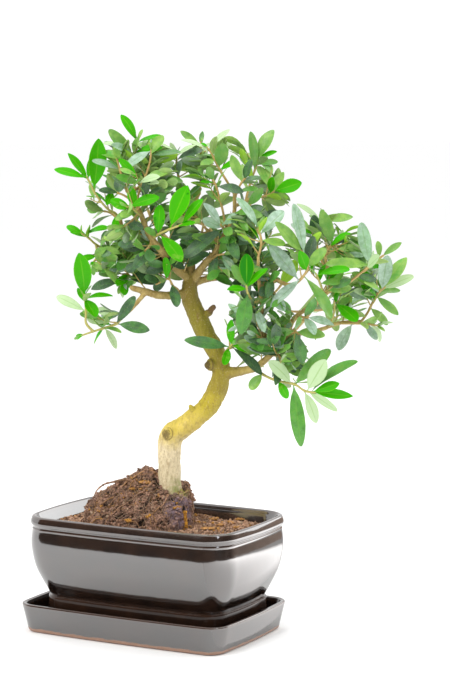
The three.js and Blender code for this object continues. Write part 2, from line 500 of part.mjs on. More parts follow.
function makeSoil(rootRecess, meshes) {
  const crumb = seeded(5);
  const rows = [
    [POT.floorTop + SEAT_GAP, 2.4], [POT.footTop + 4, 0], [48, 0], [SOIL_LEVEL - 1.5, 0],
    [SOIL_LEVEL - 0.6, 2],
  ];
  const rings = rows.map(([z, extra]) => roundedRing(inset(potInside(z, SOIL_GAP), extra), z, POT.shift));
  const rim = rings[rings.length - 1];
  const middle = new THREE.Vector3(POT.shift.x, POT.shift.y, SOIL_LEVEL);
  for (const share of [0.12, 0.27, 0.45, 0.7]) {
    rings.push(rim.map((p) => {
      const q = p.clone().lerp(middle, share);
      q.z = SOIL_LEVEL + 3.2 * (crumb() - 0.35);
      return q;
    }));
  }
  let soil = loft(rings).subtract(rootRecess);
  for (const [x, y] of meshes) {
    const side = DRAIN_MESH.side + 2 * SEAT_GAP;
    const top = POT.floorTop + 2 * SEAT_GAP + DRAIN_MESH.thick;
    soil = soil.subtract(boxSolid(side, side, POT.floorTop - 1, top, x, y));
  }
  return soil;
}

// Chips of bark half sunk in the soil or in the root ball, as [u, v, length, turn, tilt].
const SOIL_CHIPS = [[38, -18, 10, 20, 8], [46, -6, 8, 80, 5], [54, 4, 9, 140, 6], [42, 18, 9, 60, 7],
  [-46, 24, 9, 100, 5], [60, 16, 8, 30, 8]];
const ROOT_CHIPS = [[-6, -3, 9, 15, 20], [-14, -4, 8, 60, 18], [-38, -6, 7, 130, 20], [-3, -24, 8, 100, 30],
  [-15, -23, 9, 35, 30], [17, -16, 8, 70, 40]];
const CHIP = { widthShare: 0.5, thick: 2.4, topShare: 0.8 };

function barkChip([u, v, length, turn, tilt], ground) {
  const { widthShare, thick, topShare } = CHIP;
  const outline = [[-0.5, -0.3], [0.1, -0.5], [0.5, -0.1], [0.35, 0.4], [-0.3, 0.5]];
  const move = new THREE.Matrix4()
    .makeTranslation(inRow([u, v, ground(u, v)]))
    .multiply(new THREE.Matrix4().makeRotationZ(THREE.MathUtils.degToRad(turn)))
    .multiply(new THREE.Matrix4().makeRotationX(THREE.MathUtils.degToRad(tilt)));
  const rings = [-thick / 2, thick / 2].map((rise) => outline.map(([a, b]) => new THREE.Vector3(
    a * length,
    b * length * widthShare * (rise > 0 ? topShare : 1),
    rise,
  ).applyMatrix4(move)));
  return loft(rings);
}

// ---- Wood ------------------------------------------------------------------------------------------
// A curve through every point (Catmull-Rom), with a fixed number of steps between two points.
function smoothLine(points, steps) {
  const line = [];
  const at = (i) => points[Math.min(Math.max(i, 0), points.length - 1)];
  for (let i = 0; i + 1 < points.length; i += 1) {
    for (let k = 0; k < steps; k += 1) {
      const t = k / steps;
      line.push(at(i).map((_, axis) => {
        const [a, b, c, d] = [at(i - 1)[axis], at(i)[axis], at(i + 1)[axis], at(i + 2)[axis]];
        return b + 0.5 * t * (c - a + t * (2 * a - 5 * b + 4 * c - d + t * (3 * (b - c) + d - a)));
      }));
    }
  }
  line.push(points[points.length - 1]);
  return line;
}

// A tapering round solid along a line of [u, v, z, radius]; its first ring may face along `seat`.
function taperedTube(line, sides, seat = null, grow = 0) {
  const centres = line.map((p) => inRow(p));
  const rings = [];
  let across = null;
  centres.forEach((centre, i) => {
    const before = centres[Math.max(i - 1, 0)];
    const after = centres[Math.min(i + 1, centres.length - 1)];
    const along = after.clone().sub(before).normalize();
    const normal = i === 0 && seat ? seat : along;
    if (!across) {
      across = new THREE.Vector3(0, -turnCos, 0).add(new THREE.Vector3(turnSin, 0, 0.01));
    }
    across.addScaledVector(normal, -across.dot(normal)).normalize();
    const up = new THREE.Vector3().crossVectors(normal, across);
    const radius = line[i][3] + grow;
    rings.push(Array.from({ length: sides }, (_, k) => {
      const angle = (2 * Math.PI * k) / sides;
      return centre.clone()
        .addScaledVector(across, radius * Math.cos(angle))
        .addScaledVector(up, radius * Math.sin(angle));
    }));
  });
  return loft(rings);
}

// ---- Sprays ----------------------------------------------------------------------------------------
// The nearest place on the wood to a point: its centre, its radius and whether it is a branch's end.
function nearestWood(point, woodLines) {
  let best = null;
  for (const line of woodLines) {
    for (let i = 0; i + 1 < line.length; i += 1) {
      const a = inRow(line[i]);
      const b = inRow(line[i + 1]);
      const span = b.clone().sub(a);
      const raw = point.clone().sub(a).dot(span) / span.lengthSq();
      const share = Math.min(Math.max(raw, 0), 1);
      const centre = a.clone().addScaledVector(span, share);
      const radius = line[i][3] + (line[i + 1][3] - line[i][3]) * share;
      const gap = centre.distanceTo(point) - radius;
      if (!best || gap < best.gap) {
        const atEnd = i + 2 === line.length && share > 0.9;
        best = { gap, centre: atEnd ? b : centre, radius, atEnd, along: span.clone().normalize() };
      }
    }
  }
  return best;
}

const toTree = (p) => [p.x * turnCos + p.y * turnSin, -p.x * turnSin + p.y * turnCos, p.z];

// A spray's main twig starts square on the wood's skin, with the seat gap between them.
function seatTwig(route, woodLines) {
  const start = inRow(route[0]);
  const toward = inRow(route[1]);
  const wood = nearestWood(start, woodLines);
  let facing = wood.along.clone();
  if (!wood.atEnd) {
    facing = toward.clone().sub(wood.centre);
    facing.addScaledVector(wood.along, -facing.dot(wood.along)).normalize();
  }
  const reach = (wood.atEnd ? 0 : wood.radius) + SEAT_GAP;
  const seat = wood.centre.clone().addScaledVector(facing, reach);
  return { route: [toTree(seat), ...route.slice(1)], facing };
}

function twigLine(route) {
  const line = smoothLine(route, 1);
  return line.map((p, i) => {
    const share = i / (line.length - 1);
    return [...p, STEM_RADIUS.start + (STEM_RADIUS.end - STEM_RADIUS.start) * share];
  });
}

function alongLine(line, share) {
  const centres = line.map((p) => inRow(p));
  const lengths = centres.slice(1).map((p, i) => p.distanceTo(centres[i]));
  let left = share * lengths.reduce((sum, length) => sum + length, 0);
  for (let i = 0; i < lengths.length; i += 1) {
    if (left <= lengths[i] || i === lengths.length - 1) {
      const direction = centres[i + 1].clone().sub(centres[i]).normalize();
      return { point: centres[i].clone().addScaledVector(direction, left), direction };
    }
    left -= lengths[i];
  }
  return null;
}

// Blade outline: share of the length, and share of the width to each side of the midrib.
const BLADE_OUTLINE = [[0, 0], [0.3, 0.43], [0.68, 0.46]];
const UPWARD_FACE = inRow([0, -0.75, 0.66]);

// A flat-sided arched blade from a point on its twig to its tip; `roll` turns its face about its length.
function bladeFrame(blade) {
  const along = blade.tip.clone().sub(blade.base).normalize();
  const face = blade.face.clone().addScaledVector(along, -blade.face.dot(along)).normalize();
  const across = new THREE.Vector3().crossVectors(along, face);
  const turned = face.multiplyScalar(Math.cos(blade.roll)).addScaledVector(across, Math.sin(blade.roll));
  return { face: turned, across: new THREE.Vector3().crossVectors(along, turned) };
}

function bladeSolid(blade, grow, from = 0) {
  const { face, across } = bladeFrame(blade);
  const span = blade.tip.clone().sub(blade.base);
  const length = span.length();
  const deep = BLADE_THICKNESS / 2 + grow;
  const points = [];
  for (const [share, side] of BLADE_OUTLINE.slice(from)) {
    const rise = 4 * share * (1 - share) * blade.arch * length;
    const reach = Math.max(share, ROOT_DEPTH / length);
    const centre = blade.base.clone().addScaledVector(span, reach).addScaledVector(face, rise);
    const half = Math.max(side * blade.width, BLADE_ROOT_HALF) + grow;
    for (const [a, b] of [[-1, -1], [1, -1], [1, 1], [-1, 1]]) {
      points.push(centre.clone().addScaledVector(across, -a * half).addScaledVector(face, b * deep));
    }
  }
  const tip = blade.base.clone().addScaledVector(span, 1 + grow / length);
  points.push(tip.clone().addScaledVector(face, -deep), tip.clone().addScaledVector(face, deep));
  const faces = [[0, 2, 1], [0, 3, 2]];
  for (let i = 0; i + 6 < points.length; i += 4) {
    for (let k = 0; k < 4; k += 1) {
      const [c, d] = [i + k, i + ((k + 1) % 4)];
      faces.push([c, d, d + 4], [c, d + 4, c + 4]);
    }
  }
  const [low, high] = [points.length - 2, points.length - 1];
  const [p, q, r, s] = [low - 4, low - 3, low - 2, low - 1];
  faces.push([p, q, low], [q, r, high], [q, high, low], [r, s, high], [s, p, low], [s, low, high]);
  return solidFrom(points, faces);
}

// What a new blade must stay clear of.
const obstacles = [];

function addObstacle(node, whole, outer = whole) {
  obstacles.push({ node, whole, outer, box: whole.boundingBox() });
}

function boxesMeet(a, b) {
  return [0, 1, 2].every((axis) => a.min[axis] <= b.max[axis] && b.min[axis] <= a.max[axis]);
}

function isClear(node, whole, outer) {
  const wholeBox = whole.boundingBox();
  const outerBox = outer.boundingBox();
  return obstacles.every((other) => {
    const own = other.node === node;
    if (!boxesMeet(own ? outerBox : wholeBox, other.box)) {
      return true;
    }
    return (own ? outer.intersect(other.outer) : whole.intersect(other.whole)).volume() < 1e-6;
  });
}

// Ways to bend a blade clear: [turn about the twig, lift, shorter].
const BENDS = [[0, 0, 1], [0.25, 0.1, 1], [-0.25, 0.1, 1], [0.15, 0.35, 0.95], [-0.15, -0.3, 0.9],
  [0.5, 0, 0.85], [-0.5, 0, 0.85]];

function bentBlade(blade, [turn, lift, shorter]) {
  const span = blade.tip.clone().sub(blade.base);
  span.applyAxisAngle(blade.twig, turn);
  span.multiplyScalar(shorter);
  span.z += lift * span.length() * 0.5;
  return { ...blade, tip: blade.base.clone().add(span), width: blade.width * shorter };
}

function featureBlade(lines, [place, u, v, z, width], draw) {
  const twig = Math.floor(place);
  const { point, direction } = alongLine(lines[twig], place - twig);
  return {
    base: point,
    twig: direction,
    tip: inRow([u, v, z]),
    width,
    face: UPWARD_FACE,
    roll: (draw() - 0.5) * 0.9,
    arch: 0.02 + 0.06 * draw(),
  };
}

// Opposite pairs, each turned a quarter from the last, leaning toward the twig's end.
function grownBlades(lines, pairs, size, draw) {
  const blades = [];
  const phase = draw() * Math.PI;
  for (let pair = 0; pair < pairs; pair += 1) {
    const line = lines[pair % lines.length];
    const share = 0.3 + (0.69 * (pair + 0.5)) / pairs;
    const { point, direction } = alongLine(line, Math.min(share, 0.97));
    const start = new THREE.Vector3(0, 0, 1).cross(direction).normalize();
    for (const side of [0, Math.PI]) {
      const out = start.clone().applyAxisAngle(direction, phase + (pair * Math.PI) / 2 + side);
      const lean = 0.75 + 0.35 * draw();
      const reach = size * (0.95 + 0.45 * draw());
      const ray = direction.clone().multiplyScalar(Math.cos(lean)).addScaledVector(out, Math.sin(lean));
      blades.push({
        base: point,
        twig: direction,
        tip: point.clone().addScaledVector(ray, reach),
        width: reach * (0.36 + 0.1 * draw()),
        face: direction,
        roll: (draw() - 0.5) * 0.7,
        arch: 0.02 + 0.07 * draw(),
      });
    }
  }
  return blades;
}

function placeBlades(node, blades) {
  const placed = [];
  for (const blade of blades) {
    for (const bend of BENDS) {
      const tried = bentBlade(blade, bend);
      if (isClear(node, bladeSolid(tried, BLADE_GROW), bladeSolid(tried, BLADE_GROW, 1))) {
        const solid = bladeSolid(tried, 0);
        placed.push(solid);
        addObstacle(node, solid, bladeSolid(tried, 0, 1));
        break;
      }
    }
  }
  return placed;
}

// ---- Assembly --------------------------------------------------------------------------------------
const group = new THREE.Group();
group.name = 'olive_bonsai';

group.add(meshFrom('tray', makeTray(), 'tray_glaze', 0.12));
group.add(meshFrom('pot', makePot(), 'pot_glaze', 0.1));
drainCentres.forEach((centre, index) => {
  const side = index === 0 ? 'left' : 'right';
  group.add(meshFrom(`drain_mesh_${side}`, makeDrainMesh(centre), 'mesh_plastic', 0.6));
});

const woodLines = Object.entries(WOOD).map(([name, points]) => smoothLine(points, name === 'trunk' ? 2 : 1));
const woodSolids = woodLines.map(
  (line, index) => taperedTube(line, index === 0 ? TRUNK_SIDES : BRANCH_SIDES),
);
woodSolids.forEach((solid) => addObstacle('olive_wood', solid));
const knotSolids = KNOTS.map((line) => taperedTube(line, 8));
const wood = wasm.Manifold.union([...woodSolids, ...knotSolids]);

const rootBall = rootBallSolid(0);
const rootExtras = [
  ...SURFACE_ROOTS.map((line) => taperedTube(
    smoothLine(line, 2).map(([u, v]) => [u, v, rootTop(u, v), SURFACE_ROOT_RADIUS]),
    5,
  )),
  ...ROOT_CHIPS.map((chip) => barkChip(chip, rootTop)),
];
const trunkFoot = woodLines[0].slice(0, 8);
const holeFloor = [...trunkFoot[0]];
holeFloor[2] -= SEAT_GAP;
const trunkHole = taperedTube([holeFloor, ...trunkFoot.slice(1)], TRUNK_SIDES, null, SOIL_GAP);
const rootBallCut = wasm.Manifold.union([rootBall, ...rootExtras]).subtract(trunkHole);
const soil = makeSoil(rootBallSolid(SOIL_GAP), drainCentres);
const soilChips = SOIL_CHIPS.map((chip) => barkChip(chip, () => SOIL_LEVEL + SOIL_GAP));
const soilWithChips = wasm.Manifold.union([soil, ...soilChips]).subtract(rootBallSolid(SOIL_GAP));

group.add(meshFrom('potting_soil', soilWithChips, 'potting_soil', 0.95));
group.add(meshFrom('root_ball', rootBallCut, 'root_ball', 0.95));
group.add(meshFrom('olive_wood', wood, 'olive_wood', 0.7));

const sprays = SPRAYS.map(([name, routes, pairs, size, features], index) => {
  const seated = seatTwig(routes[0], woodLines);
  const lines = [twigLine(seated.route), ...routes.slice(1).map(twigLine)];
  const stems = lines.map((line, i) => taperedTube(line, STEM_SIDES, i === 0 ? seated.facing : null));
  stems.forEach((stem) => addObstacle(name, stem));
  return { name, lines, stems, pairs, size, features, draw: seeded(100 + index), blades: [] };
});
for (const spray of sprays) {
  const { name, lines, features, draw } = spray;
  const blades = features.map((feature) => featureBlade(lines, feature, draw));
  spray.blades.push(...placeBlades(name, blades));
}
for (const spray of sprays) {
  const { name, lines, pairs, size, draw } = spray;
  spray.blades.push(...placeBlades(name, grownBlades(lines, pairs, size, draw)));
}
for (const { name, stems, blades } of sprays) {
  const solid = wasm.Manifold.union([...stems, ...blades]);
  group.add(meshFrom(`spray_${name}`, solid, 'olive_leaf', 0.45));
}

export default group;
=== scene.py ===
"""Looks for the olive bonsai: bark, leaves, soil, glaze, light and camera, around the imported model."""

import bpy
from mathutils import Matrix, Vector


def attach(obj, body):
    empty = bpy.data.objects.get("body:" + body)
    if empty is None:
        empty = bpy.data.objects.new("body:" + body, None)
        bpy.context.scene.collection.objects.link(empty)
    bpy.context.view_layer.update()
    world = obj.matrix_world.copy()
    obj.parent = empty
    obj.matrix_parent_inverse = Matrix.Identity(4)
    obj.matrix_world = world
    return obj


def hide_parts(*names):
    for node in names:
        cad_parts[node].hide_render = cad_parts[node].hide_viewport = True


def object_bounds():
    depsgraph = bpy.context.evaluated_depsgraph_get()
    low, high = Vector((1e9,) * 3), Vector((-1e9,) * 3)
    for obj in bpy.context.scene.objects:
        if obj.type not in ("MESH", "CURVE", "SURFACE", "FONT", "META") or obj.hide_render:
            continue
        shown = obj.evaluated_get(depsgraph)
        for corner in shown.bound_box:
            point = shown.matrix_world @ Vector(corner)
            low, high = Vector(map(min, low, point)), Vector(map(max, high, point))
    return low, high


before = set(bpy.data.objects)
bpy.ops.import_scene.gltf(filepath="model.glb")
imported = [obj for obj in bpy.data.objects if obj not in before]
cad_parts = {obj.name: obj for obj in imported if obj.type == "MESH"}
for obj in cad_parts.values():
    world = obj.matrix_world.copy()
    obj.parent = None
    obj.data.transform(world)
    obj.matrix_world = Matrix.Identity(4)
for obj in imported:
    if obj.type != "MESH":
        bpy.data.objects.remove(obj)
cad_box = [list(corner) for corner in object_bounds()]

import math

import bpy
import numpy as np
from mathutils import Matrix, Quaternion, Vector, kdtree, noise
from mathutils.bvhtree import BVHTree

MM = 0.001

# ---- Sizes in millimetres, as the part's source names them ------------------------------------------
TREE_TURN = math.radians(28.3)
TURN_COS = math.cos(TREE_TURN)
TURN_SIN = math.sin(TREE_TURN)
SIDE_BOW = 1.5
TRAY_BOTTOM = (154, 98.7, 11.5)
TRAY_TOP = (162.9, 105.6, 13.4)
TRAY_HEIGHT = 19.75
TRAY_WALL = 3.4
TRAY_FLOOR = 5
TRAY_RIM = 1.5
TRAY_CHAMFER = 1.2
POT_LIP = (160.7, 106.2, 22)
POT_BASE = (137, 83, 16)
POT_CREST = 81
POT_LIP_DEPTH = 7.5
POT_CREST_INSET = 3
POT_GROOVE = 1
POT_FOOT_TOP = 24.8
POT_FOOT_BOTTOM = 8.3
POT_FOOT_STEP = 1.6
POT_WALL = 5
POT_FLOOR = 15
POT_SHIFT = (2.4, 1.1)
FOOT_BLOCK = (16, 12, 3)
FOOT_INSET = 9
SEAT_GAP = 0.3
SOIL_GAP = 0.35
SOIL_LEVEL = 74
ROOT_U = -6
ROOT_V = 7
ROOT_TOP = 113
ROOT_UNDERSIDE = 48
ROOT_CLIFF = 60
BLADE_HALF_THICKNESS = 0.4
TWIG_RADIUS = (1.1, 0.9)

# Trunk and branches, as [u, v, z, radius] along each centre line.
WOOD = {
  "trunk": [[11, 2, 86, 9.4], [11, 2, 98, 8.4], [11, 2, 112, 7.9], [11, 1, 126, 8], [13, 0, 136, 8.3],
    [20, -2, 142, 7.5], [29, -4, 149, 7], [38, -5, 157, 7], [44, -5, 168, 6.8], [47, -4, 178, 6.3],
    [46, -3, 188, 6], [42, -1, 197, 6.3], [36.5, 0, 206, 6.6], [32.5, 0, 215, 6.5], [29, 0, 223, 6.2],
    [26, 0, 230, 6], [25, 0, 238, 5.6], [26, 0, 245, 4.6], [26, 1, 250, 3.4]],
  "leader": [[26, 0, 246, 3.7], [26, 2, 257, 3.1], [26, 4, 267, 2.6], [24, 6, 276, 2.3], [21, 8, 286, 1.9],
    [19, 9, 295, 1.6], [18, 8, 304, 1.3]],
  "fork": [[27, 0, 243, 3.4], [36, -8, 256, 2.5], [43, -12, 264, 2.1], [46, -14, 270, 1.9],
    [52, -16, 280, 1.7], [56, -16, 291, 1.5], [56, -15, 303, 1.2]],
  "fork_left": [[45, -14, 268, 1.6], [42, -17, 274, 1.4], [37, -20, 280, 1.2]],
  "right_arm": [[45, -2, 179, 5.2], [54, -8, 181, 3.9], [63, -13, 183, 3], [71, -18, 186, 2.5],
    [80, -20, 194, 2.2], [90, -22, 208, 2], [97, -22, 220, 1.8], [109, -24, 229, 1.6],
    [118, -26, 237, 1.5], [126, -27, 241, 1.4], [134, -28, 245, 1.2]],
  "right_fork": [[90, -22, 207, 1.8], [104, -14, 209, 1.6], [116, -9, 211, 1.5], [128, -7, 215, 1.4],
    [143, -5, 216, 1.2]],
  "inner_rise": [[80, -20, 194, 1.8], [77, -24, 206, 1.6], [75, -28, 220, 1.5], [74, -32, 234, 1.4],
    [72, -34, 249, 1.3], [72, -35, 262, 1.2]],
  "back_rise": [[121, -26, 238, 1.4], [120, -15, 249, 1.3], [118, -8, 260, 1.2]],
  "cross_branch": [[27, 1, 242, 3.2], [39, 2, 245, 2.4], [48, 0, 246, 2.1], [57, -4, 249, 1.9],
    [67, -11, 251, 1.8], [75, -18, 249, 1.6], [84, -25, 246, 1.5], [92, -30, 243, 1.4], [97, -33, 244, 1.2]],
  "left_low_arm": [[24, -1, 235, 3.7], [12, -8, 234, 2.9], [2, -12, 235, 2.6], [-4, -14, 237, 2.4],
    [-11, -15, 239, 2.1], [-14, -15, 240, 1.8]],
  "left_low_twig": [[-4, -14, 237, 1.8], [-12, -18, 228, 1.5], [-18, -22, 222, 1.3], [-21, -23, 219, 1.2]],
  "left_arm": [[25, 0, 245, 3.6], [12, -13, 257, 2.8], [6, -20, 266, 2.4], [0, -24, 274, 2.2],
    [-4, -24, 282, 1.9], [-8, -20, 292, 1.7], [-13, -18, 300, 1.4], [-17, -16, 306, 1.2]],
  "left_out_arm": [[13, -13, 257, 2.2], [-2, -2, 250, 2], [-16, 5, 250, 1.8], [-28, 6, 255, 1.6],
    [-34, 6, 261, 1.4], [-36, 5, 266, 1.2]],
  "left_out_rise": [[-26, 6, 254, 1.5], [-22, 9, 267, 1.3], [-21, 9, 276, 1.2], [-22, 7, 285, 1.1]],
  "top_side": [[21, 8, 285, 1.6], [27, 12, 294, 1.4], [32, 12, 303, 1.2]],
  "top_right_twig": [[56, -15, 295, 1.4], [65, -9, 299, 1.3], [71, -6, 301, 1.1]],
  "back_top": [[26, 4, 266, 2.1], [34, 24, 273, 1.7], [46, 40, 281, 1.4], [59, 50, 288, 1.2]],
  "back_left": [[26, 2, 256, 2.2], [15, 24, 265, 1.8], [2, 38, 278, 1.5], [-5, 44, 291, 1.2]],
  "back_right": [[65, -10, 251, 1.7], [73, 14, 242, 1.5], [83, 34, 230, 1.4], [94, 45, 219, 1.2]],
  "back_low": [[90, -22, 206, 1.7], [100, 0, 212, 1.5], [111, 24, 222, 1.3], [120, 40, 232, 1.2]],
}

# Healed cuts and short dead stubs on the trunk, from inside the wood outward.
KNOTS = [
  [[12, -2, 138, 4.4], [9.5, -8, 138.5, 3.9], [9.2, -8.7, 138.6, 3.1]],
  [[44, -4, 186, 4.6], [39, -7, 186, 4.2], [37.6, -8, 186, 2.8]],
  [[31, 0, 217, 3], [39, -2, 222, 2.4], [42, -2.6, 226, 1.9]],
  [[30, -4, 150, 2.6], [27, -9, 156, 1.9], [26, -10.5, 158, 1.1]],
]

